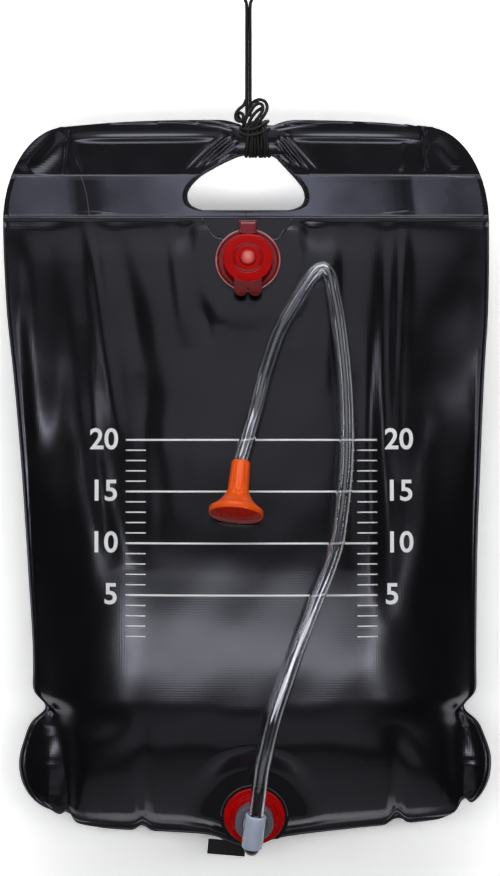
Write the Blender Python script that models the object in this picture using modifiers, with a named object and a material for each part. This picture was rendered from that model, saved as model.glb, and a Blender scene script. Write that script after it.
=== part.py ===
"""Camp shower bag: a welded film water bag that hangs by a doubled cord, with a capped filler valve,
an outlet with a T connector, and a clear hose to a push-pull spray head.

Metres, +Z up. The bag's front faces -Y. The origin is inside the crown of the cord's loop.
"""

import math

import bmesh
import bpy
from mathutils import Euler, Matrix, Vector

# Bag film and outline
BAG_WIDTH = 0.400
SIDE_HEIGHT = 0.563
TOP_CROWN = 0.006
BOTTOM_SAG = 0.029
BAG_DROP = 0.1315
BAG_TOP = -BAG_DROP
BULGE = 0.058
BACK_BULGE = 0.050
FILM = 0.0006
SEAM_GAP = 0.0003
HEM = 0.004
TOP_CORNER_WIDTH = 0.052
TOP_CORNER_HEIGHT = 0.080
BOTTOM_CORNER_WIDTH = 0.035
BOTTOM_CORNER_HEIGHT = 0.039
NOTCH_DEPTH = 0.012
NOTCH_SPREAD = 0.009
NOTCH_RISE = 0.086
LEFT_INSET_SHARES = (
    (0, 0), (0.13, 0), (0.25, 0.006), (0.37, 0.0226), (0.49, 0.037), (0.645, 0.0514),
    (0.79, 0.0617), (0.86, 0.056), (0.93, 0.033), (1, 0.033),
)
RIGHT_INSET_SHARES = (
    (0, 0), (0.19, 0), (0.25, 0.001), (0.37, 0.0103), (0.49, 0.0175), (0.645, 0.0247),
    (0.79, 0.0262), (0.865, 0.0185), (0.924, -0.0041), (1, -0.0041),
)
BOTTOM_EDGE_SHARES = (
    (-1, 0), (-0.88, 0.37), (-0.75, 0.5), (-0.4, 0.6), (-0.24, 0.67), (-0.05, 1), (0.14, 0.74),
    (0.47, 0.51), (0.8, 0.33), (0.9, 0.27), (1, 0),
)
BULGE_SHARES = (
    (0, 0), (0.0041, 0), (0.0789, 0.15), (0.2747, 0.46), (0.4128, 0.7), (0.5913, 0.94), (0.7237, 1),
    (0.8216, 0.93), (0.8906, 0.64), (0.9367, 0.4), (0.9712, 0.2), (0.9919, 0), (1, 0),
)

EDGE_ROUNDNESS = 2.2
EDGE_ROUNDNESS_RISE = 1.6
SEAT_MARGIN = 0.010
SEAT_FADE = 0.022

# Grid of the panels
FRONT_COLUMNS = 26
BACK_COLUMNS = 16
FRONT_ROWS = (6, 5, 8, 7, 7)
BACK_ROWS = (6, 2, 6, 4, 4)
COLUMN_CROWDING_SHARE = 0.6

# Header, from the top edge down to the lower weld line
HEADER_HEIGHT = 0.080
BAND_HEIGHT = 0.034
BAND_END_INSET = 0.005
BAND_THICKNESS = 0.0004
LINER_THICKNESS = 0.0006
LINER_WIDTH = 0.294
LINER_DROP = 0.0145
LINER_LAP = 0.0005
HEADER_FADE = 0.012

# Hand slot and the pinch above it
SLOT_WIDTH = 0.0985
SLOT_HEIGHT = 0.0473
SLOT_CENTRE_X = 0.0
SLOT_SILL = 0.0045
PINCH_X = 0.0086
PINCH_DIP = 0.007
PINCH_SLOPE = 0.035
PINCH_BULGE = 0.004
PINCH_SPREAD = 0.026
SLOT_LEFT_SHARES = ((0.28, 0.83), (0.12, 0.64), (0.04, 0.48), (0, 0.33), (0, 0.2), (0.03, 0.09), (0.12, 0))
SLOT_RIGHT_SHARES = ((0.88, 0), (0.97, 0.08), (1, 0.19), (1, 0.3), (0.98, 0.42), (0.925, 0.57), (0.84, 0.76))

# Shared clearances
FIT_GAP = 0.0003
OVERRUN = 0.01

# Filler valve
FILLER_X = 0.0016
FILLER_FALL = 0.0365
FILLER_TILT = math.radians(12)
FLANGE_RADIUS = 0.0263
FLANGE_THICKNESS = 0.0014
FLANGE_LIP = 0.0012
NECK_BORE = 0.0125
NECK_WALL = 0.0022
NECK_HEIGHT = 0.0062
NECK_STUB = 0.003
CAP_RADIUS = 0.0205
CAP_THICKNESS = 0.0024
CAP_EDGE = 0.0006
GROOVE_RADIUS = 0.0116
GROOVE_WIDTH = 0.0012
GROOVE_DEPTH = 0.0007
DOME_RADIUS = 0.0068
DOME_HEIGHT = 0.0028
PLUG_CLEARANCE = 0.00035
PLUG_DEPTH = 0.005
PLUG_TAPER = 0.0006
PLUG_WALL = 0.0016
TAB_WIDTH = 0.023
TAB_REACH = 0.032
TAB_THICKNESS = 0.0016
TAB_NOTCH_RADIUS = 0.0016
STRAP_WIDTH = 0.0145
STRAP_THICKNESS = 0.0012
STRAP_REACH = 0.0285
PATCH_THICKNESS = 0.0004
FILLER_PATCH_RADIUS = 0.0285
FILLER_PATCH_TOP_WIDTH = 0.075
FILLER_PATCH_NECK_WIDTH = 0.054
FILLER_PATCH_TOP = 0.0345
FILLER_PATCH_NECK = 0.0205

# Outlet and its T connector
OUTLET_X = 0.0068
OUTLET_RISE = 0.0265
OUTLET_TILT = math.radians(18)
OUTLET_RADIUS = 0.025
OUTLET_THICKNESS = 0.0018
OUTLET_PATCH_RADIUS = 0.0285
OUTLET_PATCH_CUT = 0.0205
OUTLET_STUB = 0.003
OUTLET_BOSS_RADIUS = 0.0185
OUTLET_BOSS_HEIGHT = 0.003
COLLAR_RADIUS = 0.0157
COLLAR_BORE = 0.0098
COLLAR_HEIGHT = 0.0116
COLLAR_LIP = 0.001
ELBOW_TURN = math.radians(-7)
ELBOW_RADIUS = 0.0086
ELBOW_BORE = 0.0052
ELBOW_TOP = 0.0118
ELBOW_BOTTOM = 0.0168
ELBOW_EDGE = 0.0012
SPIGOT_RADIUS = 0.0092
SPIGOT_BORE = 0.0045
SPIGOT_LENGTH = 0.0135
RING_RADIUS = 0.0006
BARB_RADIUS = 0.0048
BARB_WALL = 0.0016
BARB_LENGTH = 0.023
BARB_DEPTH = 0.0095
BARB_STEP = 0.0005
BARB_COUNT = 4
PLUG_CAP_RADIUS = 0.0064
PLUG_CAP_TIP = 0.0034
PLUG_CAP_HEIGHT = 0.006
PLUG_INSERT = 0.004

# Hose and spray head
HOSE_DIAMETER = 0.013
HOSE_BORE = 0.0103
SPRAY_X = -0.0040
SPRAY_Y = -0.0580
SPRAY_Z = -0.4128
SPRAY_LEAN = math.radians(5.3)
SPRAY_TILT = math.radians(19)
HEAD_NECK_RADIUS = 0.0077
HEAD_NECK_LENGTH = 0.024
HEAD_WAIST_RADIUS = 0.0086
HEAD_RADIUS = 0.0222
HEAD_LENGTH = 0.0455
HEAD_RIM = 0.0042
HEAD_WALL = 0.0016
HEAD_LAND = 0.005
LAND_DEPTH = 0.0215
STEM_RADIUS = 0.0048
STEM_BORE = 0.0031
STEM_IN_HOSE = 0.014
STEM_COLLAR = 0.0062
STEM_COLLAR_LENGTH = 0.003
STEM_LAND_CLEARANCE = 0.0004
STEM_LENGTH = 0.0355
STEM_STOP = 0.0061
STEM_STOP_LENGTH = 0.0018
STEM_RING_RADIUS = 0.00045
ROSE_THICKNESS = 0.0016
ROSE_CROWN = 0.0032
ROSE_PIN_RADIUS = 0.0026
ROSE_PIN_ENTRY = 0.0015
ROSE_HOLE_RADIUS = 0.0009
ROSE_RING_RADII = (0.0075, 0.0125, 0.017)
ROSE_RING_COUNTS = (6, 9, 12)
FLARE_SHARES = ((0, 0), (0.1, 0.22), (0.32, 0.5), (0.66, 0.78), (0.92, 0.93), (1, 1))
HOSE_LEAD = 0.002
HOSE_RESOLUTION = 4
HOSE_ROUTE = (
    (0.0130, -0.0583, -0.6620), (0.0166, -0.0618, -0.6450), (0.0228, -0.0648, -0.6197),
    (0.0316, -0.0662, -0.5929), (0.0405, -0.0660, -0.5670), (0.0507, -0.0642, -0.5400),
    (0.0591, -0.0617, -0.5187), (0.0672, -0.0589, -0.4986), (0.0738, -0.0554, -0.4776),
    (0.0771, -0.0517, -0.4567), (0.0797, -0.0479, -0.4364), (0.0815, -0.0441, -0.4153),
    (0.0821, -0.0402, -0.3926), (0.0815, -0.0344, -0.3600), (0.0792, -0.0291, -0.3273),
    (0.0752, -0.0243, -0.2945), (0.0712, -0.0214, -0.2735), (0.0688, -0.0197, -0.2615),
    (0.0635, -0.0188, -0.2548), (0.0570, -0.0191, -0.2585), (0.0510, -0.0203, -0.2660),
    (0.0440, -0.0222, -0.2770), (0.0278, -0.0281, -0.3052), (0.0163, -0.0342, -0.3380),
    (0.0088, -0.0408, -0.3680), (0.0038, -0.0473, -0.3850), (0.0000, -0.0523, -0.3985),
)

# Cord
CORD_DIAMETER = 0.0029
CORD_X = 0.002
CORD_SPACING = 0.0034
LOOP_WIDTH = 0.020
LOOP_LENGTH = 0.036
CORD_FOOT = 0.1340
LOOP_SHARES = ((0.12, 0.2), (0.45, 0.48), (0.83, 0.76))
HITCH_TURNS = 8
HITCH_PITCH = 0.0037
HITCH_PLAY = 0.001
HITCH_STEPS = 24
KNOT_ROUTE = (
    (-0.0012, -0.0057, -0.1357), (-0.0048, -0.0052, -0.1330), (-0.0068, -0.0044, -0.1285),
    (-0.0062, -0.0038, -0.1235), (-0.0028, -0.0036, -0.1207), (0.0020, -0.0035, -0.1198),
    (0.0070, -0.0036, -0.1188), (0.0110, -0.0040, -0.1165), (0.0150, -0.0042, -0.1155),
    (0.0182, -0.0040, -0.1185), (0.0180, -0.0034, -0.1235), (0.0145, -0.0026, -0.1270),
    (0.0100, -0.0004, -0.1285), (0.0068, 0.0026, -0.1280), (0.0020, 0.0036, -0.1265),
    (-0.0026, 0.0026, -0.1255), (-0.0044, -0.0002, -0.1262),
)

# Bottom tab
BOTTOM_TAB_WIDTH = 0.031
BOTTOM_TAB_HEIGHT = 0.0124
BOTTOM_TAB_THICKNESS = 0.0012
BOTTOM_TAB_X = -0.0155
TAB_STEPS = 12
BOTTOM_TAB_SHOW = 0.0078
BOTTOM_TAB_TURN = math.radians(-5)

STEPS = 28
SMALL_STEPS = 18
RING_STEPS = 16
RING_SIDES = 8
BEND_STEPS = 8
HOLE_SIDES = 6
SEARCH_STEPS = 40
MERGE = 0.0001


# Scene helpers


def clear_scene():
    for item in list(bpy.data.objects):
        bpy.data.objects.remove(item, do_unlink=True)


def collection(name):
    made = bpy.data.collections.new(name)
    bpy.context.scene.collection.children.link(made)
    return made


def material(name, colour, roughness, alpha=1.0, metallic=0.0):
    made = bpy.data.materials.new(name)
    made.use_nodes = True
    shader = made.node_tree.nodes["Principled BSDF"]
    shader.inputs["Base Color"].default_value = (*colour, 1)
    shader.inputs["Roughness"].default_value = roughness
    shader.inputs["Metallic"].default_value = metallic
    shader.inputs["Alpha"].default_value = alpha
    return made


def add(name, data, home, finish=None, parent=None):
    made = bpy.data.objects.new(name, data)
    home.objects.link(made)
    made.parent = parent
    if finish:
        data.materials.append(finish)
    if home is CUTTERS:
        made.hide_render = True
        made.display_type = "WIRE"
    return made


def seat_empty(name, place, turn, parent=None):
    made = bpy.data.objects.new(name, None)
    PARTS.objects.link(made)
    made.parent = parent
    made.location = place
    made.rotation_euler = turn
    return made


def mesh_of(bm, name, smooth=True):
    made = bpy.data.meshes.new(name)
    bmesh.ops.recalc_face_normals(bm, faces=bm.faces)
    bm.to_mesh(made)
    bm.free()
    if smooth:
        made.shade_smooth()
        made.set_sharp_from_angle(angle=math.radians(35))
    return made


def baked(item):
    """Turns a curve or a modified object into a plain mesh object of the same name and place."""
    bpy.context.view_layer.update()
    depsgraph = bpy.context.evaluated_depsgraph_get()
    made = bpy.data.meshes.new_from_object(item.evaluated_get(depsgraph))
    bm = bmesh.new()
    bm.from_mesh(made)
    bmesh.ops.remove_doubles(bm, verts=bm.verts, dist=MERGE / 2)
    bmesh.ops.recalc_face_normals(bm, faces=bm.faces)
    bm.to_mesh(made)
    bm.free()
    name, home, parent, place = item.name, item.users_collection[0], item.parent, item.matrix_world.copy()
    bpy.data.objects.remove(item, do_unlink=True)
    made.name = name
    plain = add(name, made, home, None, parent)
    plain.matrix_world = place
    return plain


def boolean(item, other, operation="DIFFERENCE"):
    cut = item.modifiers.new(other.name, "BOOLEAN")
    cut.object = other
    cut.operation = operation
    cut.solver = "EXACT"


# Shape helpers


def turned(name, profile, home, finish=None, parent=None, steps=STEPS):
    """Turns a profile of (radius, height) points about local Z, its outer side listed from the top down."""
    mesh = bpy.data.meshes.new(name)
    bm = bmesh.new()
    corners = [bm.verts.new((radius, 0, height)) for radius, height in profile]
    for start, end in zip(corners, corners[1:]):
        bm.edges.new((start, end))
    if min(profile[0][0], profile[-1][0]) > 0:
        bm.edges.new((corners[-1], corners[0]))
    bm.to_mesh(mesh)
    bm.free()
    made = add(name, mesh, home, finish, parent)
    screw = made.modifiers.new("turn", "SCREW")
    screw.steps = steps
    screw.render_steps = steps
    screw.use_merge_vertices = True
    screw.merge_threshold = MERGE
    return made


def rod(name, radius, low, high, home, finish=None, parent=None, steps=SMALL_STEPS):
    bm = bmesh.new()
    place = Matrix.Translation((0, 0, (low + high) / 2))
    bmesh.ops.create_cone(
        bm, cap_ends=True, segments=steps, radius1=radius, radius2=radius, depth=high - low, matrix=place
    )
    return add(name, mesh_of(bm, name), home, finish, parent)


def plate(name, outline, low, high, home, finish=None, parent=None):
    """A flat outline in local XY, made solid from low to high along local Z."""
    bm = bmesh.new()
    face = bm.faces.new([bm.verts.new((x, y, low)) for x, y in outline])
    lifted = bmesh.ops.extrude_face_region(bm, geom=[face])
    moved = [part for part in lifted["geom"] if isinstance(part, bmesh.types.BMVert)]
    bmesh.ops.translate(bm, verts=moved, vec=(0, 0, high - low))
    return add(name, mesh_of(bm, name, smooth=False), home, finish, parent)


def tube(name, points, diameter, home, finish=None, resolution=2, parent=None):
    curve = bpy.data.curves.new(name, "CURVE")
    curve.dimensions = "3D"
    curve.bevel_depth = diameter / 2
    curve.bevel_resolution = resolution
    curve.resolution_u = 1
    curve.use_fill_caps = True
    line = curve.splines.new("POLY")
    line.points.add(len(points) - 1)
    for point, place in zip(line.points, points):
        point.co = (*place, 1)
    return add(name, curve, home, finish, parent)


def ring(name, major, minor, height, finish, parent):
    """A round seal about local Z, centred at a height."""
    profile = [
        (major + minor * math.cos(angle), height - minor * math.sin(angle))
        for angle in (math.tau * step / RING_SIDES for step in range(RING_SIDES))
    ]
    return turned(name, profile, PARTS, finish, parent, RING_STEPS)


def arc(centre, radius, start, end, count):
    """Points on a round stretch of an outline, angles in degrees from local X."""
    angles = (math.radians(start + (end - start) * step / count) for step in range(count + 1))
    return [(centre[0] + radius * math.cos(a), centre[1] + radius * math.sin(a)) for a in angles]


def smooth_route(points, spacing):
    """Points about a spacing apart on one smooth curve through the given ones."""
    ends = [Vector(point) for point in points]
    ends = [2 * ends[0] - ends[1], *ends, 2 * ends[-1] - ends[-2]]
    route = [ends[1]]
    for before, start, end, after in zip(ends, ends[1:], ends[2:], ends[3:]):
        count = max(1, round((end - start).length / spacing))
        for step in range(1, count + 1):
            t = step / count
            way = (
                2 * start
                + (end - before) * t
                + (2 * before - 5 * start + 4 * end - after) * t * t
                + (3 * start - before - 3 * end + after) * t * t * t
            )
            route.append(way / 2)
    return route


def along(shares, place):
    """A smooth value from a table of (place, value) shares that never overshoots them."""
    places = [share[0] for share in shares]
    values = [share[1] for share in shares]
    place = min(max(place, places[0]), places[-1])
    slopes = [
        (values[k + 1] - values[k]) / (places[k + 1] - places[k]) for k in range(len(places) - 1)
    ]
    bends = [0.0]
    for left, right in zip(slopes, slopes[1:]):
        bends.append(2 * left * right / (left + right) if left * right > 0 else 0.0)
    bends.append(0.0)
    spot = max(k for k in range(len(slopes)) if places[k] <= place)
    span = places[spot + 1] - places[spot]
    t = (place - places[spot]) / span
    rise = values[spot + 1] - values[spot]
    return (
        values[spot]
        + bends[spot] * span * t
        + (3 * rise - span * (2 * bends[spot] + bends[spot + 1])) * t * t
        + (span * (bends[spot] + bends[spot + 1]) - 2 * rise) * t * t * t
    )


def fade(near, far, place):
    """1 up to near, 0 past far, and a smooth step between them."""
    t = min(max((far - place) / (far - near), 0), 1)
    return t * t * (3 - 2 * t)


# Bag surface: u runs from -1 at the left edge to 1 at the right, and level from 0 at the top to 1


def quarter(width, share):
    """How far a round corner draws the edge in, share 0 at its end and 1 where the straight edge starts."""
    return width * (1 - math.sqrt(max(0, 1 - (1 - share) ** 2))) if share < 1 else 0


def edge_inset(level, table):
    top = quarter(TOP_CORNER_WIDTH, level * SIDE_HEIGHT / TOP_CORNER_HEIGHT)
    bottom = quarter(BOTTOM_CORNER_WIDTH, (1 - level) * SIDE_HEIGHT / BOTTOM_CORNER_HEIGHT)
    off = ((1 - level) * SIDE_HEIGHT - NOTCH_RISE) / NOTCH_SPREAD
    return BAG_WIDTH * along(table, level) + top + bottom + NOTCH_DEPTH * math.exp(-off * off)


def pinch(x):
    return math.exp(-(((x - PINCH_X) / PINCH_SPREAD) ** 4))


def header_foot():
    return BAG_TOP - HEADER_HEIGHT


def header_level():
    """Level of the lower weld line."""
    return (HEADER_HEIGHT - TOP_CROWN) / SIDE_HEIGHT


def chamber_share(level):
    """0 at the header's foot and above it, and 1 at the bag's foot."""
    return max(0.0, level - header_level()) / (1 - header_level())


def header_share(level):
    """1 in the header and 0 in the body, where the two films come together again."""
    return fade(header_level(), header_level() + HEADER_FADE / SIDE_HEIGHT, level)


def bag_point(u, level):
    """The place of (u, level) in the front view."""
    left = -BAG_WIDTH / 2 + edge_inset(level, LEFT_INSET_SHARES)
    right = BAG_WIDTH / 2 - edge_inset(level, RIGHT_INSET_SHARES)
    x = left + (right - left) * (u + 1) / 2
    in_header = max(0, 1 - level / header_level())
    crown = TOP_CROWN * (1 - abs(u) ** 3) * in_header
    dip = PINCH_DIP * pinch(x) * in_header
    sag = BOTTOM_SAG * along(BOTTOM_EDGE_SHARES, u) * level**4
    z = -BAG_DROP - TOP_CROWN - SIDE_HEIGHT * level + crown - dip - sag
    return x, z


def bag_bulge(u, level, bulge):
    """How far the film stands off where it would lie flat."""
    inside = 1 - 2 * HEM / BAG_WIDTH
    across = min(abs(u) / inside, 1)
    power = EDGE_ROUNDNESS + EDGE_ROUNDNESS_RISE * level**4
    body = bulge * along(BULGE_SHARES, chamber_share(level)) * (1 - across**power)
    x, z = bag_point(u, level)
    foot, head = slot_top(), pinch_top()
    off = (2 * z - foot - head) / (head - foot)
    gathered = PINCH_BULGE * pinch(x) * math.sqrt(max(0, 1 - off * off))
    return body + gathered


def slot_top():
    return header_foot() + SLOT_SILL + SLOT_HEIGHT


def pinch_top():
    """Height of the gathered film's upper edge under the cord's turns."""
    return BAG_TOP - PINCH_DIP


def film_offset(level):
    """The outer face of a panel lies this far from the bag's middle plane where the bag is flat."""
    spread = (LINER_THICKNESS + SEAM_GAP) / 2
    return SEAM_GAP / 2 + FILM + spread * header_share(level)


def level_at(height, u=0):
    """The level at which a column of the bag has a height."""
    low, high = 0.0, 1.0
    for _ in range(SEARCH_STEPS):
        middle = (low + high) / 2
        if bag_point(u, middle)[1] > height:
            low = middle
        else:
            high = middle
    return low


def column_at(x, level):
    left, _ = bag_point(-1, level)
    right, _ = bag_point(1, level)
    return 2 * (x - left) / (right - left) - 1


def front_depth(x, z):
    """How far the plain front face stands before the middle plane."""
    level = level_at(z)
    return film_offset(level) + bag_bulge(column_at(x, level), level, BULGE)


class Seat:
    """A flat place on the front film, where a fitting is welded on."""

    def __init__(self, x, z, tilt, radius, depth):
        self.x, self.z, self.tilt, self.depth = x, z, tilt, depth
        self.near = radius
        self.far = radius + SEAT_FADE

    def share(self, x, z):
        return fade(self.near, self.far, math.hypot(x - self.x, z - self.z))

    def plane(self, z):
        return self.depth - (z - self.z) * math.tan(self.tilt)

    def empty(self, name):
        return seat_empty(name, (self.x, -self.depth, self.z), Euler((math.pi / 2 - self.tilt, 0, 0)))


BAG_BOTTOM = bag_point(2 * BOTTOM_TAB_X / BAG_WIDTH, 1)[1]


def filler_seat():
    """Its plane starts at the header's foot, in the header's own face."""
    depth = film_offset(header_level()) + FILLER_FALL * math.tan(FILLER_TILT)
    height = header_foot() - FILLER_FALL
    return Seat(FILLER_X, height, FILLER_TILT, FILLER_PATCH_RADIUS + SEAT_MARGIN, depth)


def outlet_seat():
    height = BAG_BOTTOM + OUTLET_RISE
    depth = front_depth(OUTLET_X, height)
    return Seat(OUTLET_X, height, -OUTLET_TILT, OUTLET_PATCH_RADIUS + SEAT_MARGIN, depth)


FILLER_SEAT = filler_seat()
OUTLET_SEAT = outlet_seat()


def hem_share(u, level):
    """0 on the welded hem and 1 away from it, so that a seat never lifts the seam."""
    side = (1 - abs(u)) * BAG_WIDTH / 2
    foot = (1 - level) * SIDE_HEIGHT
    return 1 - fade(HEM, 4 * HEM, min(side, foot))


def front_y(u, level):
    x, z = bag_point(u, level)
    depth = film_offset(level) + bag_bulge(u, level, BULGE)
    for seat in (FILLER_SEAT, OUTLET_SEAT):
        share = seat.share(x, z) * hem_share(u, level) * (1 - header_share(level))
        depth += (seat.plane(z) - depth) * share
    return -depth


def back_y(u, level):
    return film_offset(level) + bag_bulge(u, level, BACK_BULGE)


# Panels


def levels_of(rows):
    """Levels of the grid's rows: close together in the round corners and at the foot."""
    top = header_level()
    foot = 1 - BOTTOM_CORNER_HEIGHT / SIDE_HEIGHT
    notch = 1 - NOTCH_RISE / SIDE_HEIGHT
    corner, upper, body, lower, last = rows
    levels = [top * (1 - math.cos(math.pi / 2 * k / corner)) for k in range(corner)]
    for start, end, count in ((top, 2 * top, upper), (2 * top, 2 * notch - foot, body)):
        levels += [start + (end - start) * k / count for k in range(count)]
    start = 2 * notch - foot
    levels += [start + (foot - start) * k / lower for k in range(lower)]
    levels += [foot + (1 - foot) * math.sin(math.pi / 2 * k / last) for k in range(last + 1)]
    return levels


def columns_of(count):
    """Places of the grid's columns: the hem at each side, and closer together in the middle."""
    inside = 1 - 2 * HEM / BAG_WIDTH
    places = [2 * k / count - 1 for k in range(count + 1)]
    near = COLUMN_CROWDING_SHARE
    return [-1] + [inside * t * (near + (1 - near) * t * t) for t in places] + [1]


def panel(name, columns, rows, surface, finish, faces_back=False):
    """A film shell: a grid moved onto the bag's surface, given its thickness inwards, with the slot cut."""
    across, down = columns_of(columns), levels_of(rows)
    bm = bmesh.new()
    bmesh.ops.create_grid(bm, x_segments=len(across) - 1, y_segments=len(down) - 1, size=1)
    for vert in bm.verts:
        u = across[round((vert.co.x + 1) / 2 * (len(across) - 1))]
        level = down[round((1 - vert.co.y) / 2 * (len(down) - 1))]
        x, z = bag_point(u, level)
        vert.co = (x, surface(u, level), z)
    if faces_back:
        bmesh.ops.reverse_faces(bm, faces=bm.faces)
    mesh = bpy.data.meshes.new(name)
    bm.to_mesh(mesh)
    bm.free()
    mesh.shade_smooth()
    made = add(name, mesh, PARTS, finish)
    film = made.modifiers.new("film", "SOLIDIFY")
    film.thickness = FILM
    film.offset = -1
    boolean(made, SLOT_CUTTER)
    boolean(made, PINCH_CUTTER)
    return made


def slot_outline():
    """The slot's outline in the front view, from its shares of width and height."""
    low = header_foot() + SLOT_SILL
    left = SLOT_CENTRE_X - SLOT_WIDTH / 2
    shares = SLOT_LEFT_SHARES + SLOT_RIGHT_SHARES
    corners = [(left + SLOT_WIDTH * x, low + SLOT_HEIGHT * y) for x, y in shares]
    half = hitch_half_width()
    return [(PINCH_X - half, low + SLOT_HEIGHT), *corners, (PINCH_X + half, low + SLOT_HEIGHT)]


def hitch_half_width():
    """Half of the film's width that the cord's turns take up, with play at each side."""
    return HITCH_PITCH * HITCH_TURNS / 2 + CORD_DIAMETER / 2 + HITCH_PLAY


def pinch_outline():
    """What the cord's turns press down of the header's upper edge."""
    half = hitch_half_width()
    foot, head = pinch_top(), BAG_TOP + OVERRUN
    wide = half + PINCH_SLOPE
    return [(PINCH_X - wide, head), (PINCH_X - half, foot), (PINCH_X + half, foot), (PINCH_X + wide, head)]


def upright(item):
    """Stands a piece drawn in XY up in the front view: its local Y becomes +Z and its local Z becomes -Y."""
    item.rotation_euler = (math.pi / 2, 0, 0)
    return item


def header_strip(name, outline, front, back, finish):
    """A flat film strip in the header, its faces at two distances before the middle plane."""
    made = upright(plate(name, outline, back, front, PARTS, finish))
    boolean(made, SLOT_CUTTER)
    return made


def make_handle_band():
    top, foot = header_foot() + BAND_HEIGHT, header_foot()
    corners = []
    for u in (-1, 1):
        for height in (top, foot) if u < 0 else (foot, top):
            level = level_at(height, u)
            x, _ = bag_point(u, level)
            corners.append((x - math.copysign(BAND_END_INSET, u), height))
    front = film_offset(0) + SEAM_GAP
    return header_strip("handle_band", corners, front + BAND_THICKNESS, front, FINISH["band"])


def make_header_liner():
    top, foot = BAG_TOP - LINER_DROP, header_foot() + BAND_HEIGHT - LINER_LAP
    half = LINER_WIDTH / 2
    corners = [(-half, top), (-half, foot), (half, foot), (half, top)]
    return header_strip("header_liner", corners, LINER_THICKNESS / 2, -LINER_THICKNESS / 2, FINISH["film"])


def back_facet(u, level):
    """Depth of the back film's flat faces between the two rows at a level."""
    rows = levels_of(BACK_ROWS)
    above = max(row for row in rows if row <= level)
    below = min(row for row in rows if row >= level)
    if above == below:
        return back_y(u, level)
    share = (level - above) / (below - above)
    return back_y(u, above) * (1 - share) + back_y(u, below) * share


def make_bottom_tab():
    half = BOTTOM_TAB_WIDTH / 2
    corners = [(-half, 0), (-half, -BOTTOM_TAB_HEIGHT), (half, -BOTTOM_TAB_HEIGHT), (half, 0)]
    made = plate("bottom_tab", corners, 0, BOTTOM_TAB_THICKNESS, PARTS, FINISH["film"])
    height = BAG_BOTTOM - BOTTOM_TAB_SHOW + BOTTOM_TAB_HEIGHT
    behind = 0
    for step in range(TAB_STEPS + 1):
        side = half * (2 * step / TAB_STEPS - 1)
        u = column_at(BOTTOM_TAB_X + side, 1)
        corner = height + side * math.sin(BOTTOM_TAB_TURN)
        behind = max(behind, back_facet(u, level_at(corner, u)))
    made.location = (BOTTOM_TAB_X, behind + FIT_GAP + BOTTOM_TAB_THICKNESS, height)
    made.rotation_euler = Euler((math.pi / 2, 0, 0))
    made.rotation_euler.rotate_axis("Z", BOTTOM_TAB_TURN)
    return made


# Filler valve, drawn about the valve's axis: local Z points out of the bag and local Y up it


def filler_base():
    """Height of the flange's back face above the film."""
    return 2 * FIT_GAP + PATCH_THICKNESS


def neck_rim():
    return filler_base() + FLANGE_THICKNESS + NECK_HEIGHT


def make_filler_patch(home):
    neck, top = FILLER_PATCH_NECK_WIDTH / 2, FILLER_PATCH_TOP_WIDTH / 2
    start = math.degrees(math.asin(FILLER_PATCH_NECK / FILLER_PATCH_RADIUS))
    outline = [(-top, FILLER_PATCH_TOP), (-neck, FILLER_PATCH_NECK + FIT_GAP)]
    outline += arc((0, 0), FILLER_PATCH_RADIUS, 180 - start, 360 + start, STEPS)
    outline += [(neck, FILLER_PATCH_NECK + FIT_GAP), (top, FILLER_PATCH_TOP)]
    low, high = FIT_GAP, FIT_GAP + PATCH_THICKNESS
    made = plate("filler_patch", outline, low, high, PARTS, FINISH["film"], home)
    hole = NECK_BORE + NECK_WALL + FIT_GAP
    boolean(made, rod("filler_patch_hole", hole, -OVERRUN, OVERRUN, CUTTERS, None, home, STEPS))
    return made


def make_filler_flange(home):
    outer = NECK_BORE + NECK_WALL
    base, face, rim = filler_base(), filler_base() + FLANGE_THICKNESS, neck_rim()
    profile = [
        (outer, rim),
        (outer, face),
        (FLANGE_RADIUS - 2 * FLANGE_LIP, face),
        (FLANGE_RADIUS - FLANGE_LIP, face + FLANGE_LIP / 2),
        (FLANGE_RADIUS, face),
        (FLANGE_RADIUS, base),
        (outer, base),
        (outer, -NECK_STUB),
        (NECK_BORE, -NECK_STUB),
        (NECK_BORE, rim),
    ]
    return turned("filler_flange", profile, PARTS, FINISH["clear_red"], home)


def cap_base():
    return neck_rim() + FIT_GAP


def make_filler_cap(home):
    """Cap, plug, dome and pull tab in one piece, drawn about the valve's axis and moved to the hinge."""
    base = cap_base()
    face = base + CAP_THICKNESS
    plug = NECK_BORE - PLUG_CLEARANCE
    tip = base - PLUG_DEPTH
    dome = [
        (DOME_RADIUS * math.sin(turn), face + DOME_HEIGHT * math.cos(turn))
        for turn in (math.pi * k / BEND_STEPS for k in range(BEND_STEPS // 2 + 1))
    ]
    profile = dome + [
        (GROOVE_RADIUS - GROOVE_WIDTH, face),
        (GROOVE_RADIUS, face - GROOVE_DEPTH),
        (GROOVE_RADIUS + GROOVE_WIDTH, face),
        (CAP_RADIUS - CAP_EDGE, face),
        (CAP_RADIUS, face - CAP_EDGE),
        (CAP_RADIUS, base),
        (plug, base),
        (plug - PLUG_TAPER, tip),
        (plug - PLUG_TAPER - PLUG_WALL, tip),
        (plug - PLUG_TAPER - PLUG_WALL, base),
        (0, base),
    ]
    shift = (0, -STRAP_REACH, -hinge_height())
    made = turned("filler_cap", profile, PARTS, FINISH["red"], home)
    made.location = shift
    made = baked(made)
    boolean(made, pull_tab(made), "UNION")
    return finished(made, FINISH["red"])


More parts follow.
